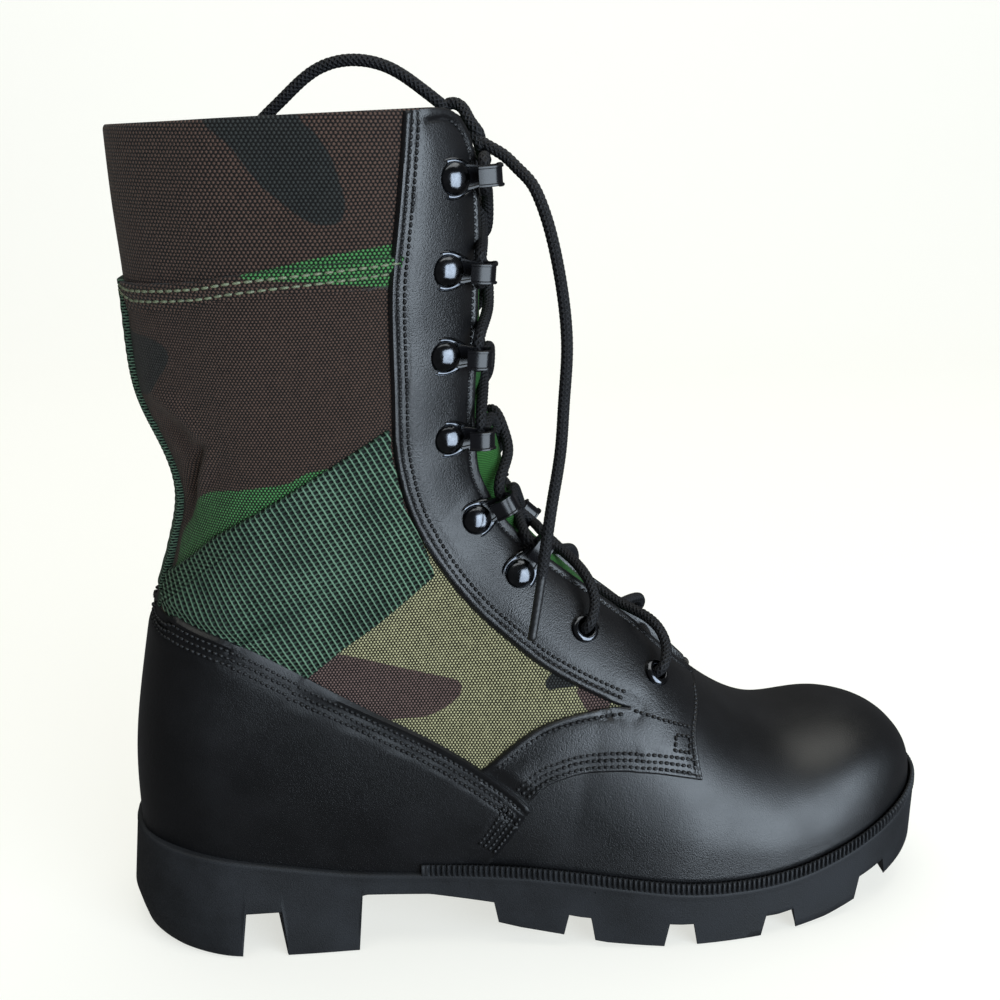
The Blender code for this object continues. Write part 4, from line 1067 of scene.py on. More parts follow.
walks = zip(SIDES, edge_walk(RAND_START, RIB_STEP))
one, other = (rand_half(side, x, RIB_STEP) for side, x in walks)
points, quads = joined([capped(np.concatenate([one, other[::-1]]))], True)
dress(put_mesh("rand_strip", points, quads, sharp=50), [rubber], "rand_rubber", "ribbed_rand")

# %% [markdown]
# ## The insole
# A board with a cloth face lies on the sole's bed, inside the upper. It is only seen down the shaft, so a
# plain closed slab with a softened edge and a woven face is enough.

# %% The insole board
def board_pattern(strand):
    """Dark felted cloth on a board: short fibres and worn, paler patches."""
    fibre, cloud = noise(strand, 0.6, 3.0), noise(strand, 22.0)
    return {"Base Color": (fibre * 0.5 + cloud * 0.5).blend(rgb(40, 38, 33), rgb(84, 80, 68)),
            "Roughness": 0.92, "bump": fibre * 0.25}


BOARD_GAP = 1.8
BOARD_SECTION = ((0.6, 0.3), (0, 0.9), (0, 3.2), (0.4, 3.9), (1.4, 4.3), (14, 4.4), (26, 4.4))  # inset and z
rows = HEEL_X + (TOE_X - HEEL_X) * (1 - np.cos(np.linspace(0, np.pi, 90))) / 2
section = []
for side, sign in (("lateral", 1), ("medial", -1)):
    for draw, height in BOARD_SECTION[::sign]:
        inset = WALL + BOARD_GAP + draw
        px, py = plan_point(rows, side, margin(rows) + inset, HEEL_MARGIN + inset, TOE_MARGIN + inset)
        section.append(np.stack([px, py, bed(px) + height], -1))
points, quads = joined([np.stack(section, 1)], True)
dress(put_mesh("insole_board", points, quads), [make_finish("insole_felt", board_pattern)], "board", "insole")

# %% [markdown]
# ## The camouflage
# The canvas is printed with the common woodland pattern: big rounded patches of brown, khaki, green and
# black. A noise texture would give patches of the right kind but in the wrong places, so each patch is a
# closed outline drawn in side view, rounded off by a curve, and stored on the canvas as the distance to that
# outline. The shader then only has to compare that distance with zero, which gives a crisp print at any
# zoom.

# %% Outlines of the printed patches, as x and z
LOWER_SHAFT = [[(-160, 60), (-132, 132), (-96, 142), (-62, 158), (-30, 150), (70, 120), (70, 10), (-160, 10)]]
PATCHES = {
    "lateral": {
        "khaki": LOWER_SHAFT,
        "green": [
            [(-97.5, 247.6), (-85.6, 250.2), (-75.2, 252.4), (-63.5, 254.4), (-40, 256), (-40, 243),
             (-60.1, 243.6), (-71.6, 244.9), (-80.5, 245.8), (-90.4, 246.2)],
            [(-121.9, 169), (-114.2, 174.2), (-104.2, 176), (-93.9, 177.7), (-86.3, 178.9),
             (-78, 182.5), (-60, 180), (-100, 140), (-131, 138), (-130, 147), (-128.1, 155.4),
             (-124.6, 163.2)],
        ],
        "brown": [
            [(-92, 106), (-86.7, 109.4), (-80.9, 113.5), (-75.7, 115.4), (-66.2, 113.3), (-51.8, 109.1),
             (-39.9, 105.9), (-31.7, 103.6), (-29.8, 101), (-31.7, 97.3), (-37.3, 93.4), (-43.8, 90.8),
             (-54.1, 90.3), (-75, 88), (-95, 96)],
            [(10.4, 99.5), (17.3, 98.8), (23.9, 93.2), (17.1, 91), (13.9, 92.1), (12.1, 95.6)],
        ],
        "black": [
            [(-109, 302), (-106.4, 293.4), (-102.6, 289.7), (-98.1, 285.8), (-94.1, 280), (-90.2, 275),
             (-84.4, 269.9), (-79, 265.5), (-74.5, 263.2), (-69.9, 262.7), (-66.7, 263.7),
             (-65.3, 266.5), (-65.3, 271), (-66.6, 276.2), (-68.2, 281.5), (-70.5, 286.3),
             (-74, 290.7), (-77.5, 294), (-80, 302)],
            [(-146, 226), (-136.8, 226.4), (-129.9, 225.4), (-126, 223.1), (-125.4, 219.6),
             (-127.5, 216), (-130, 212.4), (-132.1, 207.9), (-136.4, 205.9), (-146, 205)],
            [(-1, 100.8), (0.4, 103), (3.7, 105.5), (6.9, 103.4), (10.8, 101), (8.5, 99.6),
             (3.9, 99.5), (0.5, 99.1)],
        ],
    },
    "medial": {
        "khaki": LOWER_SHAFT,
        "green": [
            [(-104, 226), (-96, 232), (-84, 229), (-72, 231), (-60, 226), (-46, 229), (-44, 214),
             (-58, 208), (-74, 212), (-90, 207), (-102, 213)],
            [(-117, 303), (-101, 296), (-95, 287), (-101, 278), (-111, 277), (-120, 283), (-122, 293)],
        ],
        "brown": [
            [(-60, 118), (-48, 122), (-36, 117), (-24, 112), (-18, 104), (-26, 98), (-42, 102),
             (-56, 108)],
        ],
        "black": [
            [(-90, 281), (-80, 287), (-69, 284), (-60, 273), (-52, 268), (-56, 258), (-68, 262),
             (-78, 268), (-88, 272)],
            [(-146, 226), (-136, 227), (-127, 224), (-120, 217), (-124, 208), (-134, 204), (-146, 205)],
            [(-10, 96), (-2, 100), (6, 98), (4, 91), (-6, 89)],
        ],
    },
}


def rounded_outline(corners, fine=6):
    """A closed curve through the corners: each stretch is a cubic whose end slopes are half the chord
    across them."""
    p = np.array(corners, float)
    slope = (np.roll(p, -1, 0) - np.roll(p, 1, 0)) / 2
    u = (np.arange(fine) / fine)[None, :, None]
    a, b = p[:, None], np.roll(p, -1, 0)[:, None]
    c, d = slope[:, None], np.roll(slope, -1, 0)[:, None]
    line = a + ease(u) * (b - a) + (u**3 - 2 * u**2 + u) * c + (u**3 - u**2) * d
    return line.reshape(-1, 2)


def inside_by(spots, outline):
    """Distance to a closed outline, positive inside it: inside where a level ray crosses it an odd number
    of times."""
    ring = np.vstack([outline, outline[:1]])
    gap = nearest(spots, ring)[0]
    (x0, z0), (x1, z1) = ring[:-1].T, ring[1:].T
    x, z = spots.T
    odd = np.zeros(len(spots), bool)
    for part in np.array_split(np.arange(len(spots)), 1 + len(spots) * len(x0) // CHUNK):
        level = (z0 > z[part, None]) != (z1 > z[part, None])
        cross = x0 + (z[part, None] - z0) * (x1 - x0) / np.where(z1 == z0, 1e-9, z1 - z0)
        odd[part] = (level & (x[part, None] < cross)).sum(1) % 2 == 1
    return np.where(odd, gap, -gap)


def side_view(points):
    """x and z of all points of an array."""
    return np.asarray(points).reshape(-1, 3)[:, [0, 2]]


def print_fields(points, side):
    """For each printed colour, the distance inside its nearest patch, read in side view."""
    spots = side_view(points)
    return {colour: np.max([inside_by(spots, rounded_outline(p)) for p in shapes], axis=0)
            for colour, shapes in PATCHES[side].items()}


print("patches:", {side: sum(map(len, shapes.values())) for side, shapes in PATCHES.items()})

# %% [markdown]
# ## Canvas
# The cloth is a tough plain weave: thick yarns that go over and under each other, so each crossing shows as
# a small pale dot, and the dots stand in staggered rows. In the finish that is the product of two sine
# waves along the cloth's own coordinates, used both for the height of the yarns and, as painted highlight on
# the crossings and painted shade in the gaps, for their colour.
# Modelling each yarn would take millions of faces for the same look.

# %% Canvas and lining finishes
YARN_ALONG, YARN_UP = 1.4, 2.2
# the gap tint darkens the print as painted shade in the weave's gaps; the crown tint brightens it as painted
# highlight on the crossings
GROUND_TONE, GAP_SHADE_TINT, CROWN_HIGHLIGHT_TINT = rgb(49, 36, 30), (0.05, 0.045, 0.04, 1), (2.5, 2.45, 2.4, 1)
PRINT_TONES = {"khaki": rgb(110, 108, 82), "brown": rgb(66, 52, 49), "green": rgb(40, 82, 43),
               "black": rgb(24, 26, 25)}


def cloth_axes(strand):
    """The cloth's own coordinates in millimetres, with a slight waver, as woven cloth is never ruler
    straight."""
    u, v, _ = strand.node("UVMap", {"uv_map": "UVMap"}).parts()
    waver = noise(strand, 9.0) - 0.5
    return u + waver * 0.5, v + waver * 0.4


def canvas_pattern(strand):
    """Print colours chosen by the stored distances, times a weave tone: painted highlight on the crossings
    and painted shade in the gaps, mixed with random slubs and fuzz.
    """
    u, v = cloth_axes(strand)
    weave, row = u.wave(YARN_ALONG) * v.wave(YARN_UP), v.wave(YARN_UP / 2, "COSINE")
    slub, fuzz = noise(strand, 2.6, 3.0), noise(strand, 0.35)
    ragged, colour = weave * 0.25 + (slub - 0.5) * 1.2, GROUND_TONE
    for name, tone in PRINT_TONES.items():
        inside = strand.node("Attribute", {"attribute_name": name}, None, 2)
        colour = (inside + ragged * 0.5).between(-0.25, 0.25).blend(colour, tone)
    # light is the weave's painted highlight on the crossings and painted shade in the gaps, mixed with random
    # slub and fuzz tone
    light = weave * 0.34 - row * 0.16 + fuzz * 0.3 + slub * 0.2 + 0.24
    tone = light.between(0.28, 0.82).blend(colour.times(GAP_SHADE_TINT), colour.times(CROWN_HIGHLIGHT_TINT))
    return {"Base Color": tone, "Roughness": 0.88 - light * 0.12,
            "bump": weave * 0.2 + fuzz * 0.16 + slub * 0.12}


def lining_pattern(strand):
    """Plain dark drill inside the boot: fine slanted ribs, painted darker in their grooves as shade, and a
    little fluff.
    """
    place = place_of(strand)
    x, y, z = place.parts()
    rib = (x + y + z * 0.8).wave(1.1) * 0.5 + 0.5
    fuzz = noise(strand, 0.5, 3.0)
    # painted shade: the ribs' grooves take the darker colour, mixed with random fluff tone
    return {"Base Color": (rib * 0.5 + fuzz * 0.5).blend(rgb(30, 34, 27), rgb(62, 68, 54)), "Roughness": 0.93,
            "bump": rib * 0.12 + fuzz * 0.15}


canvas = make_finish("printed_canvas", canvas_pattern, specular_ior_level=0.25, sheen_weight=0.08)
lining = make_finish("drill_lining", lining_pattern, specular_ior_level=0.2)

# %% [markdown]
# ## Leather
# The vamp, counter and facings are black grained leather with a finish coat: a fine pebble of about a
# millimetre, tiny pores, a soft gloss, and a duller, slightly paler look where it was handled. The facings
# show the pebble most, the vamp is drawn smoother over the last, and the stiff counter is nearly plain.
# Cells of a Voronoi texture give the pebble, and noise gives the pores and the uneven gloss.

# %% Leather finishes
PEBBLES = 2.1  # to a millimetre


def leather_pattern(pebble, gloss):
    """A leather with this height of pebble and this share of gloss."""
    def pattern(strand):
        """Pebble: the distance to the nearest of many scattered centres; pores and wrinkles are two
        noises."""
        place = place_of(strand)
        drift = strand.node("TexNoise", None, {"Vector": place, "Scale": 0.8, "Detail": 1.0}, 1)
        bent = strand.node("VectorMath", {"operation": "ADD"}, {0: place, 1: drift})
        cell = strand.node("TexVoronoi", {"feature": "SMOOTH_F1"},
                           {"Vector": bent, "Scale": PEBBLES, "Smoothness": 0.4})
        pores, cloud = noise(strand, 0.3, 2.0), noise(strand, 26.0, 3.0)
        dull = cloud.between(0.35, 0.75)
        return {"Base Color": (cell * 0.4 + dull * 0.6).blend(rgb(9, 9, 10), rgb(17, 17, 19)),
                "Roughness": dull * 0.1 + pores * 0.08 + gloss,
                "bump": (1 - cell) * pebble + pores * 0.03 + cloud * 0.25}
    return pattern


leather = make_finish("grained_leather", leather_pattern(0.085, 0.3), specular_ior_level=0.5)
toe_leather = make_finish("vamp_leather", leather_pattern(0.06, 0.34), specular_ior_level=0.5)
counter_leather = make_finish("counter_leather", leather_pattern(0.05, 0.33), specular_ior_level=0.36)

# %% [markdown]
# ## Quarters and vamp
# The shaft is two canvas quarters and the front is one leather vamp, all drawn over the same last. They
# come from one grid on the upper's face, split along a line that the sewn band covers. Soft creases are
# added by moving the face in or out by a bell of the distance to a given line: a fold in the canvas above
# the ankle, and the slight dip behind the toe. A cloth simulation would find its own folds, but not
# these.

# %% The grid and its creases
EDGE_CUT = COLLAR_CUT - 0.2  # rows close up from here to the collar's edge, and toward the toe
ROWS = np.concatenate([np.linspace(0, 1, 45, endpoint=False) ** 2, np.linspace(1, 3, 55, endpoint=False),
                       np.linspace(3, 9, 119, endpoint=False), np.linspace(9, EDGE_CUT, 207, endpoint=False),
                       COLLAR_CUT - 0.2 * np.linspace(1, 0, 12) ** 2])
COLUMNS, CUFF_Z, SIDE_X, FOLD_SCALE, DRAWN_DEPTH = np.linspace(0, 1, 86), 243.0, -95.0, 1.35, 2.6
TOE_DIP, TOE_SWELL, COLLAR_ROLL, COLLAR_R, CUT_PITCH, FINER_CLOTH = 0.2, 1.9, 1.0, 1.2, 15.0, 1.2
HOLE_R, HOLE_REACH = 3.4, 9.0
SPLIT = [(-32, 60), (-12, 66), (-5, 72), (4, 77), (12.5, 79), (31.5, 80)]
FOLDS = [  # x and z along the fold, width, height (negative is a trough)
    ([(-138, 211), (-131, 207), (-126, 203.3), (-121.4, 198.8), (-117.8, 194.1), (-113, 187)], 4, 1.5),
    ([(-134, 199), (-128, 196), (-123, 191), (-119, 186)], 4.5, -1.5),
    ([(-112.5, 190), (-114.2, 186), (-117, 179), (-120, 170)], 2.6, 1.2),
    ([(-115, 194), (-117.5, 189.5), (-121, 181.5), (-123.5, 173), (-127, 158)], 2.2, -2.1),
    ([(-100, 212), (-84, 205), (-66, 206)], 9, -0.7), ([(-118, 236), (-96, 232), (-70, 235)], 8, 0.6),
    ([(-120, 262), (-112, 276), (-110, 290)], 9, 0.8), ([(-92, 258), (-88, 274), (-90, 290)], 9, -0.7),
    ([(-66, 258), (-62, 274), (-60, 290)], 8, 0.5),
    ([(-20, 96), (-4, 97), (12, 96)], 6, 0.5), ([(-44, 118), (-34, 112), (-24, 104)], 7, -0.6),
]


def fold_height(points):
    """Sum of the folds: each is a bell of the distance from its line in side view, fading toward the line's
    ends."""
    spots = side_view(points)
    total = np.zeros(len(spots))
    for line, width, height in FOLDS:
        gap, along = nearest(spots, spline_line(line))
        total += FOLD_SCALE * height * bell(gap, width) * np.sin(np.pi * np.clip(along, 0, 1)) ** 0.7
    return total.reshape(points.shape[:-1])


def drawn_in(points):
    """How far cloth sinks toward the foot along the back of the shaft: eased in from the side and from the
    counter."""
    return DRAWN_DEPTH * ease((-98 - points[..., 0]) / 26) * ease((points[..., 2] - 118) / 30)


def spline_line(corners, fine=40):
    """A smooth line through a few corners, by a cubic over their count."""
    at = np.linspace(0, len(corners) - 1, fine)
    return curve_through(np.array(corners, float), np.arange(len(corners)), at)


def upper_patch(side):
    """Outer, inner and plain face of one side and its cloth coordinates, with the creases and the collar's
    roll."""
    s = ROWS[:, None] + 0 * COLUMNS[None, :]
    t = COLUMNS[None, :] * throat_t(ROWS, side)[:, None]
    plain = upper_face(s, t, side)
    x, z = plain[..., 0], plain[..., 2]
    dip = TOE_DIP * bell(x - 84 - 0.18 * np.abs(plain[..., 1]), 13) * ease((z - 40) / 15)
    roll = COLLAR_ROLL * (1 - quarter_round((COLLAR_CUT - s) * CUT_PITCH / COLLAR_R))
    rise = fold_height(plain) * ease((COLLAR_CUT - s) / 0.4) - drawn_in(plain)
    rise = rise + TOE_SWELL * ease((x - 92) / 34) * ease((z - 42) / 20)
    outer = upper_face(s, t, side, dip + roll - rise)
    inner = upper_face(s, t, side, WALL - roll * 0.8 + np.maximum(-rise, 0))
    bend = np.hypot(np.diff(x, axis=1), np.diff(plain[..., 1], axis=1)) - np.abs(np.diff(x, axis=1))
    bend = np.concatenate([np.zeros((len(s), 1)), np.cumsum(bend, axis=1)], 1)
    u = x - np.maximum(np.take_along_axis(bend, np.argmax(x >= SIDE_X, axis=1)[:, None], 1) - bend, 0)
    finer = np.where(z > CUFF_Z, 1.0, FINER_CLOTH)
    return outer, inner, plain, np.stack([u * finer * SIDES[side]["sign"], z * finer], -1)


def keep_clear(points, quads, wanted):
    """Leaves out quads with a corner inside an eyelet's hole."""
    for (_, spot), (place, _, _, normal) in FRAMES.items():
        if spot in EYELETS:
            away = points - place
            depth = away @ normal
            off_axis = np.linalg.norm(away - depth[:, None] * normal, axis=1)
            wanted = wanted & ~((off_axis < HOLE_R) & (np.abs(depth) < HOLE_REACH))[quads].any(1)
    return wanted


def region(sides, canvas_part):
    """Outer face, inner face, plain face and cloth coordinates of the canvas or of the leather, and their
    quads: a quad is canvas where its middle lies behind the split, and quads that an eyelet passes through
    are left out."""
    columns, quads = [], []
    for side in sides:
        outer, inner, plain, uv = (a.reshape(-1, a.shape[-1]) for a in UPPER[side])
        mine = grid_quads(len(ROWS), len(COLUMNS))
        x, _, z = plain[mine].mean(1).T
        cloth = (x < SPLIT[0][0]) | ((x < SPLIT[-1][0]) & (z > broken_line(SPLIT, x)))
        kept = mine[keep_clear(plain, mine, cloth == canvas_part)]
        quads.append(kept + len(plain) * len(columns))
        columns.append((outer, inner, plain, uv))
    used, quads = np.unique(np.concatenate(quads), return_inverse=True)
    return [np.concatenate(column)[used] for column in zip(*columns)], quads.reshape(-1, 4)


# %% Quarters, one for each side
UPPER = {side: upper_patch(side) for side in SIDES}
for side in SIDES:
    (face, back, plain, uv), quads = region([side], True)
    points, faces = closed_shell(face, back, quads)
    fields = {key: twice(value) for key, value in print_fields(plain, side).items()}
    parts = np.zeros(len(faces), int)
    parts[len(quads):] = 1
    quarter = put_mesh("quarter_" + side, points, faces, twice(uv), fields, parts, 50)
    dress(quarter, [canvas, lining], "canvas", "upper")

# %% The vamp, both sides in one
(face, back, _, _), quads = region(SIDES, False)
points, faces = closed_shell(face, back, quads)
parts = np.zeros(len(faces), int)
parts[len(quads):2 * len(quads)] = 1
dress(put_mesh("vamp", points, faces, parts=parts, sharp=50), [toe_leather, lining], "leather", "upper")

# %% [markdown]
# ## The tongue
# Behind the throat lies a soft tongue of bright green twill. It is one sheet on the last, a little inside
# the upper, with a slight quilted swell and rounded edges. Twill shows as fine slanted lines.

# %% The tongue
TONGUE_HALF = [(3.6, 13), (5, 20), (9, 27), (19, 33)]
TONGUE_THICK, EDGE_ROUND, SWELL, FALL, FALL_CUT = 2.0, 9.0, 0.35, 13.0, 16.3


def twill_pattern(strand):
    """Slanted ribs: a sine of the sum of both cloth coordinates, broken by fluff; the grooves between the
    ribs get a darkened copy of the green as painted shade.
    """
    u, v = cloth_axes(strand)
    rib = (u + v).wave(0.9) * 0.5 + 0.5
    fuzz, cloud = noise(strand, 0.4, 3.0), noise(strand, 30.0)
    tone = (rib * 0.6 + fuzz * 0.4).between(0.15, 0.9)
    colour = cloud.between(0.3, 0.7).blend(rgb(40, 84, 40), rgb(50, 100, 46))
    # painted shade: a copy of the green darkened to 0.45 fills the grooves between the ribs, against random
    # fluff and cloud tone
    dark = colour.times((0.45, 0.45, 0.45, 1))
    return {"Base Color": tone.blend(dark, colour), "Roughness": 0.9, "bump": rib * 0.12 + fuzz * 0.1}


twill = make_finish("tongue_twill", twill_pattern, specular_ior_level=0.2)
s, share = np.linspace(TONGUE_HALF[0][0], COLLAR_CUT, 150)[:, None], bunched(30, 0.5)[None, :]
thick = TONGUE_THICK * quarter_round(share * EDGE_ROUND) * quarter_round((COLLAR_CUT - s) * EDGE_ROUND)
swell = SWELL * np.sin(np.pi * s * 1.5) * np.sin(np.pi * share)
middle = WALL + TONGUE_GAP + TONGUE_THICK / 2 - tongue_crown(s) * ease((share - 0.42) / 0.4)
middle = middle + FALL * ease((s - FALL_CUT) / (COLLAR_CUT - FALL_CUT))
faces, backs = [], []
for side in SIDES:
    first = ridge_t(s, side, spline(TONGUE_HALF, s))
    t = first + (1 - first) * share
    faces.append(upper_face(s, t, side, middle - thick / 2 - swell))
    backs.append(upper_face(s, t, side, middle + thick / 2 + 0.001))
face, quads = joined(faces)
points, faces = closed_shell(face, joined(backs)[0], quads)
uv = np.stack([face[:, 1], np.hypot(face[:, 0], face[:, 2])], 1)
dress(put_mesh("tongue_sheet", points, faces, twice(uv)), [twill], "tongue_canvas", "tongue")

# %% [markdown]
# ## Sewn panels
# Facings, counter, webbing and seams are flat pieces sewn on the upper, so each is a grid of s and t
# between its cut edges, raised off the face. How high it stands depends on the distance to its edges: a cut
# edge is upright and then rounded, a folded border is a little thicker, and a row of stitches pulls the
# leather into a groove.

# %% Raising a panel
THICK, SHIFTS = LAYER_GAP + LEATHER, {}


def drawn_down(gap):
    """Height of a sewn panel: its full height inside, only the leather's own near an edge, where thread
    pulls it down."""
    return LEATHER + LAYER_GAP * ease((gap - 2.0) / 9.0)


def cut_edge(gap, radius=0.9, stand=0.35):
    """Share of the thickness at a distance from a cut edge: an upright part, then a quarter round."""
    return stand + (1 - stand) * quarter_round(gap / radius)


def grooves(gap, rows, depth=0.5, width=0.6):
    """Depth of sewn grooves: a bell at each row's distance from the edge, summed."""
    return depth * np.sum([bell(gap - row, width) for row in rows], axis=0)


def on_face(grid, side, inset=0.0):
    """Points on the face for a grid of s and t."""
    return upper_face(grid[..., 0], grid[..., 1], side, inset)


def softened(grid, share, rounds=140):
    """Each inner point of a grid moved toward the mean of its four neighbours by its share, again and
    again."""
    grid = grid.copy()
    for _ in range(rounds):
        mean = (grid[:-2, 1:-1] + grid[2:, 1:-1] + grid[1:-1, :-2] + grid[1:-1, 2:]) / 4
        grid[1:-1, 1:-1] += share[1:-1, 1:-1, None] * (mean - grid[1:-1, 1:-1])
    return grid


def panel(name, patches, finishes, slot, *nodes, sunk=0.35, uv=None, fields=None, clear=False, sharp=45,
          soft=None):
    """patches holds (side, grid, height): height takes the grid's points on the plain face and gives how
    far the outer face stands off. The inner face lies a little inside the upper, so that no gap shows at an
    edge."""
    outside, inside, plains = [], [], []
    for side, grid, height in patches:
        shape = grid.shape[:2]
        plain = on_face(grid, side).reshape(-1, 3)
        rise = (height(plain) - drawn_in(plain)).reshape(shape)
        face = on_face(grid, side, -rise)
        if soft is not None:
            bare, out = on_face(grid, side, -THICK), face_normal(grid[..., 0], grid[..., 1], side)
            shift = softened(bare, soft(bare)) - bare
            if uv is not None:
                shift = (shift * out).sum(-1, keepdims=True) * out
            face += shift
            SHIFTS[name, side] = plain, shift.reshape(-1, 3)
        outside.append(face)
        inside.append(on_face(grid, side, sunk + drawn_in(plain).reshape(shape)))
        plains.append(plain)
    outer, quads = joined(outside)
    if clear:
        quads = quads[keep_clear(np.concatenate(plains), quads, np.ones(len(quads), bool))]
    points, faces = closed_shell(outer, joined(inside)[0], quads)
    uv = None if uv is None else twice(uv)
    fields = {key: twice(value) for key, value in (fields or {}).items()}
    return dress(put_mesh(name, points, faces, uv, fields, sharp=sharp), finishes, slot, *nodes)


# %% [markdown]
# ## Heel counter
# A leather counter wraps the heel from one side to the other. Its top edge is folded and sewn with three
# rows, and the front edge, where it overlaps the vamp, with four close ones.

# %% The counter
COUNTER_TOP = [(-6.4, 55.8), (-13.8, 63.6), (-32.4, 76.7), (-52, 88), (-72, 99.3), (-90.3, 111.3),
               (-109, 123), (-128.5, 129)]
COUNTER_FRONT = [(-6.4, 55.8), (-12.7, 45.5), (-18.2, 37)]
COUNTER_BACK_CUT, COUNTER_FOOT_CUT, COUNTER_FOLD, HEEL_LOWEST = 12.6, 9.3, 0.35, (-150.0, 40.0)
COUNTER_ROWS, FRONT_ROWS = (3.2, 5.6, 8.0), (2.0, 4.2, 6.4, 8.6)


def lip_t(s, side):
    """The t where cut s rises out of the sole's lip, looked up on a fine list of t."""
    t = np.linspace(0, 0.4, 300)
    x, _, z = np.moveaxis(upper_face(np.asarray(s)[:, None], t[None, :], side, -LAYER_GAP), -1, 0)
    return t[np.argmax(z > rim(x) - 2.0, axis=1)]


def smooth_line(rows, fine=12):
    """A table of x and z as s and t along one smooth curve through its rows."""
    return on_cut(*spline_line(rows, fine * (len(rows) - 1) + 1).T)


def counter_lines(side):
    """The counter's lower, upper and front edges as lines of s and t."""
    top = np.vstack([smooth_line(COUNTER_TOP), [(COUNTER_BACK_CUT, 0.0)]])
    foot = np.concatenate([np.linspace(5.36, 8.9, 60), [9.1, 9.2]])
    low = np.vstack([np.stack([foot, lip_t(foot, side)], 1), [(COUNTER_FOOT_CUT, 0.0)]])
    front = np.vstack([low[:1], face_line(COUNTER_FRONT)[::-1]])
    return low, top, front


def counter_height(side):
    """Height of the counter: full inside, a folded and rounded top and front edge, a groove along each
    row."""
    top_line, front_line = (on_face(line, side) for line in counter_lines(side)[1:])

    def height(points):
        up, ahead = nearest(points, top_line)[0], nearest(points, front_line)[0]
        edge = np.minimum(up, ahead)
        fold = COUNTER_FOLD * (1 - ease(edge - 1.6))
        dents = grooves(up, COUNTER_ROWS) + grooves(ahead, FRONT_ROWS, 0.45) * ease((up - 7) / 2)
        return (drawn_down(edge) + fold) * cut_edge(edge) - dents
    return height


def counter_grid(side):
    """The counter's grid of s and t, closer together at its edges."""
    low, top, front = counter_lines(side)
    return cut_grid(low, top, bunched(150, 0.3), bunched(64, 0.7), front)


def cut_share(face, end, width):
    """Where a panel is softened: a bell about the cut that leaves the heel's lowest point."""
    return bell(nearest(side_view(face), [HEEL_LOWEST, end])[0].reshape(face.shape[:2]), width)


def heel_share(face):
    """Where the counter is softened: a bell about the cut to its top, below an eased, slanted border."""
    border = ease((108 - face[..., 2] + 0.25 * (face[..., 0] + 120)) / 18)
    return 0.95 * cut_share(face, (-90.0, 103.4), 13.0) * border


COUNTER = {side: counter_height(side) for side in SIDES}
patches = [(side, counter_grid(side), COUNTER[side]) for side in SIDES]
panel("heel_counter_leather", patches, [counter_leather], "leather", "heel_counter", soft=heel_share)

# %% [markdown]
# ## Facings
# Each facing is one leather piece: the long eyestay beside the throat, a front part that ends squarely on
# the vamp, and a band that runs back to the counter. The eyestay's back edge is folded to a raised border.
# It is made as three grids that share their borders, so it has no seam inside.

# %% The facings
EYESTAY_BACK = [(-46.5, 296), (-48.7, 274), (-51.3, 252.5), (-52.6, 235.5), (-52.3, 206), (-52, 186),
                (-48, 166), (-40.5, 148.5), (-32, 135.5), (-22, 124), (-10, 113.5), (1.6, 105),
                (20.5, 94.8), (29, 91.4)]
BAND_TOP = [(29, 91.4), (24, 92), (12.5, 90.9), (0.5, 88), (-9, 83), (-18, 75.8), (-26, 69)]
BAND_LOW = [(31.5, 69.4), (25.4, 70), (12.5, 69.4), (4.5, 67.2), (-1.4, 64.5), (-8, 57)]
TOE_LOW = [(31.5, 69.4), (41.3, 68), (56, 64.2)]
TURN_CUT, BACK_FOLD, WELT = 3.8, 0.4, 0.5
FACING_FRONT = [(60.1, 86.8), (57.6, 82.7), (54.9, 76.8), (56, 64.2)]


def facing_lines(side):
    """The borders of a facing as lines of s and t, by name."""
    tables = {"back": EYESTAY_BACK, "band_top": BAND_TOP, "band_low": BAND_LOW, "toe_low": TOE_LOW}
    lines = {key: smooth_line(rows) for key, rows in tables.items()}
    rise, foot = np.linspace(COLLAR_CUT - 0.02, TURN_CUT, 240), np.linspace(TURN_CUT, THROAT_CUT + 0.01, 50)
    lines["throat"] = np.stack([rise, throat_t(rise, side)], 1)
    lines["toe_edge"] = np.stack([foot, ridge_t(foot, side, np.maximum(throat_half(foot), 0.6))], 1)
    lines["front"] = np.vstack([lines["toe_edge"][-1:], smooth_line(FACING_FRONT)])
    return lines


def facing_grids(side):
    """The eyestay, the front part and the band, whose shared borders have the same points."""
    line = facing_lines(side)
    v_tip, corner, heel = line["back"][-1], line["throat"][-1], [line["band_low"][0], line["back"][-1]]
    across, low, front = bunched(36), bunched(16), bunched(36, 0.7)
    stay = cut_grid(line["back"], line["throat"], bunched(190, 0.3), across)
    left = np.concatenate([spread(heel, low), spread([v_tip, corner], across)[1:]])
    right = spread(line["front"][::-1], bunched(len(left) - 1, 0.6))
    under = spread(line["toe_low"], front)
    under[-1] = right[0]
    toe = fill(under, spread(line["toe_edge"], front), left, right)
    band = cut_grid(line["band_low"], line["band_top"], bunched(56, 0.6), low, heel)
    return stay, toe, band


BACK_ROWS, THROAT_ROWS, LOW_ROWS, BAND_ROWS, END_ROWS = (2.6, 5.0), (3.2,), (2.0, 4.4, 6.8), (2.8,), (2.0,)


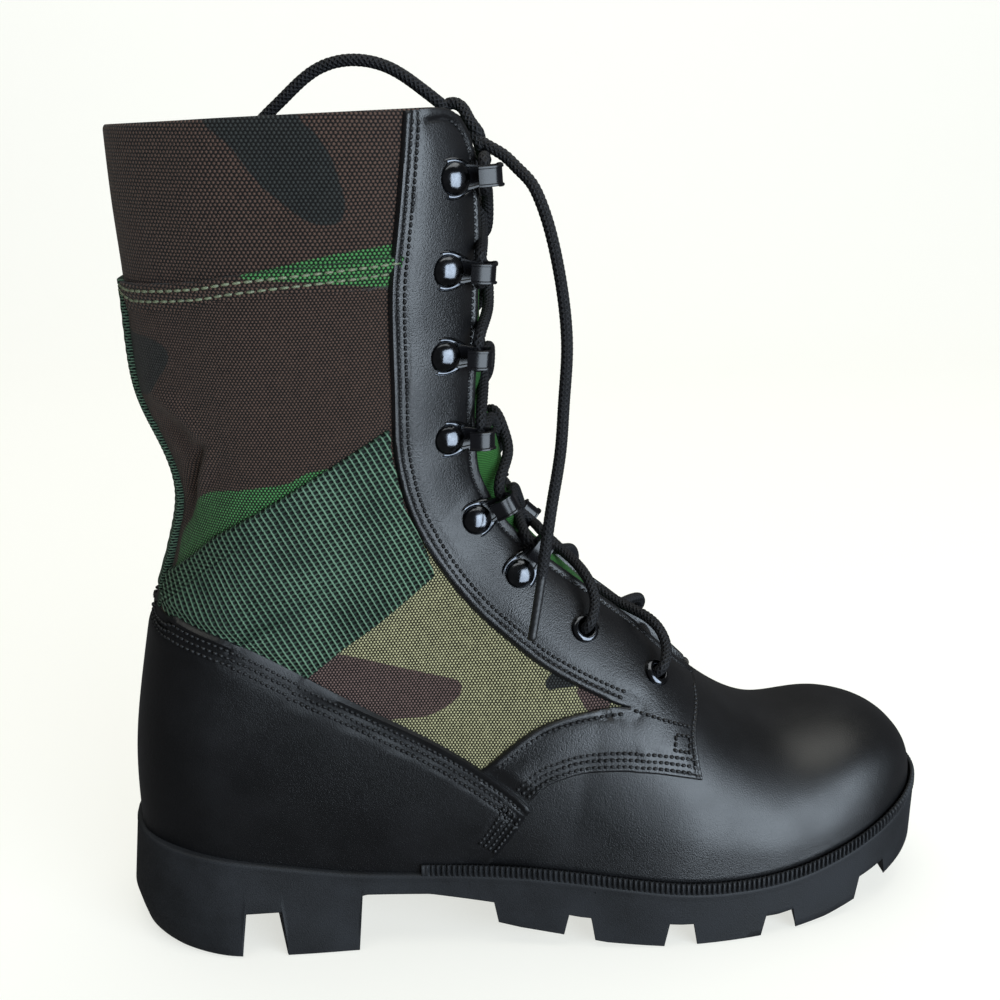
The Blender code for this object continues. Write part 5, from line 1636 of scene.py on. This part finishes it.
def facing_height(side):
    """Height of a facing: full inside, drawn down and rounded at its edges, with a raised fold along the
    back edge, the band and the throat, and a groove along each row; the band's tail is tucked under the
    counter."""
    line = {key: on_face(value, side) for key, value in facing_lines(side).items()}
    borders = [line["back"], np.vstack([line["band_low"][::-1], line["toe_low"]]), line["front"],
               np.vstack([line["throat"], line["toe_edge"]]), line["band_top"],
               np.stack([line["back"][0], line["throat"][0]])]
    tail_line = np.stack([line["band_low"][-1], line["band_top"][-1]])

    def height(points):
        gaps = [nearest(points, border)[0] for border in borders]
        back, low, front, throat, band, collar = gaps
        edge, welt, tail = np.min(gaps, axis=0), np.minimum(throat, collar), nearest(points, tail_line)[0]
        aside = ease((back - 6.0) / 2.0)
        calm = ease((np.linalg.norm(points - line["back"][-1], axis=1) - 3.0) / 4.0)
        fold = BACK_FOLD * (1 - ease((np.minimum(back, band) - 2.0) / 0.8)) * calm
        fold = fold + WELT * (1 - ease((welt - 2.4) / 0.9)) * aside
        dents = (grooves(back, BACK_ROWS) + grooves(band, BAND_ROWS)) * calm
        dents = dents + grooves(welt, THROAT_ROWS, 0.7, 0.75) * aside
        dents = dents + grooves(low, LOW_ROWS, 0.45) + grooves(front, END_ROWS)
        tucked = 0.4 + 0.6 * ease((tail - 2.0) / 6.0)
        return ((drawn_down(edge) + fold) * cut_edge(edge) - dents * ease(edge / 0.8)) * tucked
    return height


FACING = {side: facing_height(side) for side in SIDES}
for side in SIDES:
    patches = [(side, grid, FACING[side]) for grid in facing_grids(side)]
    panel("facing_leather_" + side, patches, [leather], "leather", "facing_" + side, clear=True)

# %% [markdown]
# ## Webbing
# The ankle is braced by a wide strip of dark green webbing, and a narrow one runs up the back. Webbing is
# woven with thick yarns, so it shows heavy ribs across the strip, with a row of small holes between every
# two. The ribs are real relief; the holes and the single yarns are in the finish, where the holes are
# painted near black as shade and the rib crests paler as painted highlight.

# %% Webbing finish
RIB, YARN = 2.0, 1.62


def webbing_pattern(strand):
    """Ribs along one cloth axis; in every gap a row of holes, which step by half a pitch from gap to gap. The
    holes are painted near black as shade and the rib crests paler as painted highlight.
    """
    u, v = cloth_axes(strand)
    rib, yarn = u.wave(RIB, "COSINE") * 0.5 + 0.5, v.wave(YARN) * u.wave(2 * RIB)
    fuzz, cloud = noise(strand, 0.35), noise(strand, 14.0)
    # painted shade: the holes are coloured near black, as shade in them; the same mask dents the bump
    shaded_hole = (1 - rib).between(0.15, 0.5) * yarn.between(-0.3, 0.25)
    # painted highlight: the rib crests are coloured paler, mixed with random yarn, fuzz and cloud tone
    crest_highlight = rib.math("POWER", 5.0)
    body = (crest_highlight * 0.7 - yarn * 0.2 + fuzz * 0.3 + (cloud - 0.5) * 0.5).between(0.1, 0.95)
    colour = body.blend(rgb(12, 36, 25), rgb(92, 122, 100))
    return {"Base Color": shaded_hole.blend(colour, rgb(3, 8, 6)), "Roughness": 0.78 - rib * 0.14,
            "bump": rib * 0.25 - yarn * 0.12 + fuzz * 0.14 - shaded_hole * 0.4}


webbing = make_finish("rib_webbing", webbing_pattern, specular_ior_level=0.3)
WEB_THICK, RIB_HEIGHT = LAYER_GAP + 1.2, 0.22

# %% The ankle webbing
WEB_LOW = [(-84, 107), (-71.3, 117), (-59.6, 124.7), (-40, 139.8)]
WEB_TOP = [(-132.6, 142.8), (-128.5, 146.2), (-113.4, 159.5), (-96, 169.8), (-75.8, 181.9), (-53.8, 195)]
WEB_REAR = [(-84, 107), (-109, 120.5), (-128, 126), (-135.6, 129.4), (-132.6, 142.8)]
WEB_FRONT = [(-40, 139.8), (-42, 148.5), (-49.4, 166), (-53.4, 186), (-53.8, 195)]


def web_uv(points):
    """Millimetres along the slanted strip and across it, read in side view."""
    return side_view(points) @ [(0.9, -0.44), (0.44, 0.9)]


def web_share(face):
    """Where the webbing is softened: 0.9 of a bell about the cut to its top."""
    return 0.9 * cut_share(face, (-40.0, 158.0), 11.0)


def under_counter(points):
    """Share of a strip's height near the counter's top edge: low below it, full 5 mm above it."""
    return 0.3 + 0.7 * ease((points[:, 2] - broken_line(COUNTER_TOP[::-1], points[:, 0])) / 5.0)


def web_height(side):
    """Height of the strip: its thickness, rounded at the long edges, and a wave for the ribs."""
    long_edges = [on_face(face_line(rows), side) for rows in (WEB_LOW, WEB_TOP)]

    def height(points):
        edge = np.min([nearest(points, line)[0] for line in long_edges], axis=0)
        ribs = RIB_HEIGHT * np.cos(2 * np.pi * web_uv(points)[:, 0] / RIB) * ease(edge / 1.5)
        return (WEB_THICK * cut_edge(edge, 1.2) + ribs) * under_counter(points)
    return height


low, top, rear, front = (face_line(rows) for rows in (WEB_LOW, WEB_TOP, WEB_REAR, WEB_FRONT))
grid = cut_grid(low, top, bunched(200, 0.1), bunched(56, 0.6), rear, front)
for side in SIDES:
    panel("ankle_webbing_" + side, [(side, grid, web_height(side))], [webbing], "webbing", "webbing_" + side,
          uv=web_uv(on_face(grid, side)), sharp=70, soft=web_share)

# %% The backstay
BACKSTAY_HALF, BACKSTAY_CUTS, BACKSTAY_RIB = 13.0, (12.25, 17.1), 0.08


def backstay_patch(side):
    """Side, grid and height of half the strip: a little thicker low down, with ribs half as far apart."""
    s = np.linspace(*BACKSTAY_CUTS, 170)
    t = back_t(s, side, BACKSTAY_HALF)[:, None] * (1 - bunched(20, 0.6)[::-1])[None, :]
    grid = np.stack([np.broadcast_to(s[:, None], t.shape), t], -1)
    edge_line = on_face(grid[:, -1], side)

    def height(points):
        edge = cut_edge(nearest(points, edge_line)[0], 1.2, 0.5)
        thick = 2.0 + 0.6 * (1 - ease((points[:, 2] - 140) / 30))
        ribs = BACKSTAY_RIB * np.cos(4 * np.pi * points[:, 2] / RIB)
        return (thick * edge + ribs) * under_counter(points - [0, 0, 2.0])
    return side, grid, height


patches = [backstay_patch(side) for side in SIDES]
uv = [2 * on_face(grid, side).reshape(-1, 3)[:, [2, 1]] for side, grid, _ in patches]
panel("backstay_webbing", patches, [webbing], "webbing", "backstay", uv=np.concatenate(uv), sharp=70)

# %% [markdown]
# ## The seam under the cuff
# The cuff is joined to the shaft by a lapped seam: the lower panel is folded over at its top and sewn down
# with two rows of pale thread. It is a low strip of the same printed canvas with a rounded upper edge.

# %% The cuff seam
SEAM_TOP = [(-50, 252.8), (-54, 252.3), (-95.5, 248.3), (-112.7, 245.6), (-137, 243.3)]
SEAM_DROP, SEAM_THICK, SEAM_BACK_CUT, SEAM_FOOT_CUT = 9.0, 1.5, 17.1, 16.74
SEAM_ROWS = (2.4, 5.6)
seam_top = np.vstack([smooth_line(SEAM_TOP), [(SEAM_BACK_CUT, 0.0)]])
seam_low = np.vstack([smooth_line(np.array(SEAM_TOP) - [0, SEAM_DROP]), [(SEAM_FOOT_CUT, 0.0)]])
seam_grid = cut_grid(seam_low, seam_top, np.linspace(0, 1, 110), bunched(26, 0.5))


def seam_height(side):
    """Height of the lap: rounded at its top edge, easing to nothing at its foot, with a groove along each
    row."""
    low, top = on_face(seam_low, side), on_face(seam_top, side)

    def height(points):
        up, down = nearest(points, top)[0], nearest(points, low)[0]
        lap = SEAM_THICK * cut_edge(up, 1.1, 0.1) * ease(down / 7.0)
        return lap - grooves(up, SEAM_ROWS, 0.25, 0.7) + 0.12
    return height


SEAM = {side: seam_height(side) for side in SIDES}
plains = {side: on_face(seam_grid, side) for side in SIDES}
prints = [print_fields(plain, side) for side, plain in plains.items()]
panel("cuff_seam_canvas", [(side, seam_grid, SEAM[side]) for side in SIDES], [canvas], "canvas", "cuff_seam",
      uv=np.concatenate([side_view(plain) for plain in plains.values()]), sunk=0.6,
      fields={key: np.concatenate([p[key] for p in prints]) for key in prints[0]})

# %% [markdown]
# ## Stitches
# Each stitch is a short length of thread that dips into the leather at both ends: a small bead along the
# row. All of them are one array, since every bead is the same few rings moved to its place and turned along
# its row. A bump texture of dashes is lighter, but it has no shadow and no highlight of its own.

# %% Rows of beads
STITCHES = {"black": [], "pale": []}
BEAD_STEPS, BEAD_SIDES, BEAD_SINK = np.array([-1.0, -0.8, -0.3, 0.3, 0.8, 1.0]), 6, 0.45


def stitch_row(side, line, offset, height, thread="black", pitch=2.2, panel_name=None):
    """Places along a border moved inward over the face: offset is to the left of the run as seen on the
    lateral side. Places are evenly spaced; each keeps its direction along the row and the face's normal. On
    a softened panel each is shifted as the nearest point of the panel was."""
    moved = inset_line(line, side, -SIDES[side]["sign"] * offset)
    place = on_face(moved, side)
    length = run_along(place)
    at = pitch * (np.arange(int(length[-1] / pitch)) + 0.5)
    s, t = at_lengths(moved, length, at).T
    bare = upper_face(s, t, side)
    spot = upper_face(s, t, side, drawn_in(bare) - height(bare))
    if panel_name:
        plain, shift = SHIFTS[panel_name, side]
        spot = spot + shift[np.argmin(((bare[:, None] - plain) ** 2).sum(-1), axis=1)]
    ahead = at_lengths(place, length, at + 0.4) - at_lengths(place, length, at - 0.4)
    STITCHES[thread].append((spot, ahead, face_normal(s, t, side)))


def beads(rows, length, radius, sink):
    """Beads: along each, the radius is that of a blunt spindle and the middle bows up from both dipped
    ends."""
    spot, ahead, normal = (np.concatenate(column) for column in zip(*rows))
    ahead = unit(ahead - normal * (ahead * normal).sum(1)[:, None])
    beside = np.cross(normal, ahead)
    u = BEAD_STEPS[None, :, None, None]
    v = turns(BEAD_SIDES)[None, None, :, None]
    thick = radius * np.sqrt(np.maximum(1 - np.abs(u) ** 4, 0))
    bow = -sink * u**2 + radius * 0.45
    along, up, wide = (a[:, None, None] for a in (ahead, normal, beside))
    points = spot[:, None, None] + along * u * length / 2 + wide * thick * np.cos(v)
    points = points + up * (bow + thick * np.sin(v))
    one = grid_quads(len(BEAD_STEPS), BEAD_SIDES, 0, True)
    quads = one + len(BEAD_STEPS) * BEAD_SIDES * np.arange(len(spot))[:, None, None]
    return points.reshape(-1, 3), quads.reshape(-1, 4), len(spot)


def trimmed(line, side, start, end):
    """A border line without its first and last millimetres."""
    length = run_along(on_face(line, side))
    return line[(length >= start) & (length <= length[-1] - end)]


def sew(side, line, trim, offsets, height, **kind):
    """Rows along one border, one for each offset; trim is what is left off at its start and end."""
    for offset in offsets:
        stitch_row(side, trimmed(line, side, *trim), offset, height, **kind)


VAMP_SEAM = [(30.5, 90.2), (44, 84.2), (53.5, 80.2)]
TACK = [(45.6, 80.2), (51.6, 78.2), (50.9, 73.6), (44.9, 75.6), (45.6, 80.2)]
for side in SIDES:
    line, (_, top, front) = facing_lines(side), counter_lines(side)
    low = np.vstack([line["band_low"][::-1], line["toe_low"][1:]])
    facing_rows = [(line["back"], (1, 1), BACK_ROWS), (line["throat"], (3, 2), np.negative(THROAT_ROWS)),
                   (line["front"], (4, 3), np.negative(END_ROWS)), (line["band_top"], (2, 6), BAND_ROWS),
                   (low, (2, 3), LOW_ROWS), (face_line(VAMP_SEAM, 20), (0, 0), (0.0,)),
                   (face_line(TACK, 12), (0, 0), (0.0,))]
    for border, trim, offsets in facing_rows:
        sew(side, border, trim, offsets, FACING[side])
    sew(side, top, (2, 0), COUNTER_ROWS, COUNTER[side], panel_name="heel_counter_leather")
    sew(side, front, (3, 3), FRONT_ROWS, COUNTER[side], panel_name="heel_counter_leather", pitch=2.0)
    sew(side, seam_top, (4, 0), SEAM_ROWS, SEAM[side], thread="pale", pitch=3.5)


def thread_pattern(dark, light):
    """A thread between these two colours."""
    def pattern(strand):
        """Twisted thread: fine fibres of lighter and darker tone."""
        fibre = noise(strand, 0.3)
        return {"Base Color": fibre.between(0.3, 0.7).blend(dark, light), "Roughness": fibre * 0.2 + 0.42,
                "bump": fibre * 0.08}
    return pattern


threads = (("black", rgb(5, 5, 6), rgb(16, 16, 18), 0.4, 2.05, 0.68, "leather"),
           ("pale", rgb(70, 78, 60), rgb(120, 128, 102), 0.5, 3.0, 0.5, "canvas"))
for thread, dark, light, gloss, length, radius, slot in threads:
    finish = make_finish(thread + "_thread", thread_pattern(dark, light), specular_ior_level=gloss)
    points, quads, count = beads(STITCHES[thread], length, radius, BEAD_SINK)
    dress(put_mesh(thread + "_stitches", points, quads, sharp=80), [finish], slot)
    print(thread, "stitches:", count)

# %% [markdown]
# ## Hooks
# A speed hook is pressed from one strip of steel and enamelled black: an egg-shaped plate held by a domed
# rivet, and a tongue with thick edges that runs forward past the facing and folds back over the lace. Plate
# and dome are discs of rings, the tongue is a section carried along a bend.

# %% Hooks
PLATE_LONG, PLATE_WIDE, PLATE_BACK, DOME_R, DOME_HEIGHT, DOME_BACK = 8.6, 6.5, 3.4, 5.5, 3.3, 4.3
PLATE_RINGS = [(0, -2.8), (1, -2.8), (1, 0.5), (0.98, 0.85), (0.945, 1), (0.91, 0.9), (0.88, 0.62),
               (0.6, 0.6), (0, 0.6)]
STRAP_WAY = [(0.4, 0.1), (4, 0.2), (7.4, 0.8), (9.8, 2.2), (10.7, 4.2), (9.8, 6.2), (7.4, 7.1), (4.6, 6.7),
             (1.8, 5.6)]
STRAP_HALF, STRAP_EDGE, STRAP_WEB = 3.3, 0.85, 0.36


def disc(outline, rings):
    """A round form: each ring is a share of the outline at a height."""
    return np.stack([np.pad(outline * share, ((0, 0), (0, 1)), constant_values=height)
                     for share, height in rings])


def hook_parts():
    """Grids of a hook in its own frame: forward, along the edge, out."""
    angle = turns(48)
    circle = np.stack([np.cos(angle), np.sin(angle)], 1)
    egg = circle * [PLATE_LONG, PLATE_WIDE]
    egg[:, 0] += 0.9 * circle[:, 0] ** 2
    egg[:, 1] *= 1 - 0.2 * circle[:, 0]
    plate = disc(egg, PLATE_RINGS)
    plate[..., 0] -= PLATE_BACK
    plate[..., 2] -= 0.03 * np.maximum(plate[..., 0] + 3, 0) ** 2
    bow = np.linspace(0, np.pi / 2, 9)
    crown = np.stack([5.35 * np.cos(bow), 0.85 + DOME_HEIGHT * np.sin(bow)], 1)
    dome = disc(circle, [(0, 0.3), (DOME_R, 0.3), (DOME_R, 0.75), *crown])
    dome[..., 0] -= DOME_BACK
    way = spline_line(STRAP_WAY, 44)
    run = unit(np.gradient(way, axis=0))
    wide, thick, web = STRAP_HALF, STRAP_EDGE, STRAP_WEB
    half = np.array([(-wide, -0.5), (-wide, 0.5), (-wide + 0.2, thick), (-wide + 0.75, thick),
                     (-wide + 1.0, web), (wide - 1.0, web), (wide - 0.75, thick), (wide - 0.2, thick)])
    section = np.concatenate([half, -half])
    share = np.linspace(0, 1, len(way))
    taper = 1 + 0.25 * ease(1 - share / 0.2) + 0.16 * bell(share - 0.5, 0.07)
    ahead = way[:, None, 0] - section[None, :, 1] * run[:, None, 1]
    out = way[:, None, 1] + section[None, :, 1] * run[:, None, 0]
    strip = np.stack([ahead, section[None, :, 0] * taper[:, None], out], -1)
    return [plate, dome, capped(strip)]


def enamel_pattern(strand):
    """Black enamel on steel: glossy, faintly uneven, a little paler in places."""
    cloud, grit = noise(strand, 3.0, 3.0), noise(strand, 0.4)
    tone = (cloud * 0.6 + grit * 0.4).between(0.3, 0.8)
    return {"Base Color": tone.blend(rgb(62, 64, 68), rgb(92, 94, 98)),
            "Roughness": cloud * 0.16 + 0.1, "bump": grit * 0.01 + cloud * 0.06}


enamel = make_finish("black_enamel", enamel_pattern, metallic=1.0)
dull_black = plain_pattern((0.004, 0.004, 0.005, 1), 0.22)
strip_enamel = make_finish("dull_enamel", dull_black, specular_ior_level=0.35)
HOOK, HOOK_TURN, HOOK_LIFT = hook_parts(), math.radians(22.0), 0.9
points, quads = joined(HOOK, True)
finish = np.repeat((0, 0, 1), [part[1:, :, 0].size for part in HOOK])
cos, sin = math.cos(HOOK_TURN), math.sin(HOOK_TURN)
for side in SIDES:
    for i, spot in enumerate(HOOKS):
        place, forward, edge, normal = FRAMES[side, spot]
        axes = np.stack([forward * cos + normal * sin, edge, normal * cos - forward * sin])
        placed = place + HOOK_LIFT * normal + points @ axes
        hook = put_mesh(f"speed_hook_{side}_{i + 1}", placed, quads, parts=finish)
        dress(hook, [enamel, strip_enamel], "hardware", f"hook_{side}_{i + 1}")

# %% [markdown]
# ## Eyelets
# The two lowest pairs of lace holes have round eyelets: a rolled flange outside and a short barrel through
# the leather. That is one profile turned about the hole's axis.

# %% Eyelets
profile = np.array([  # radius and height
    (2.75, -4.2), (2.72, -1), (2.72, 0.3), (2.9, 0.95), (3.3, 1.35), (3.8, 1.45), (4.4, 1.25), (4.95, 0.75),
    (5.2, 0.15), (5.15, -0.5), (3.3, -0.6), (3.3, -4.2), (2.75, -4.2),
])
angle = turns(40)
for side in SIDES:
    for i, spot in enumerate(EYELETS):
        place, forward, edge, normal = FRAMES[side, spot]
        around = np.cos(angle)[None, :, None] * forward + np.sin(angle)[None, :, None] * edge
        ring = place + profile[:, None, :1] * around + profile[:, None, 1:] * normal
        eyelet = put_mesh(f"rolled_eyelet_{side}_{i + 1}", *joined([ring], True))
        dress(eyelet, [enamel], "hardware", f"eyelet_{side}_{i + 1}")
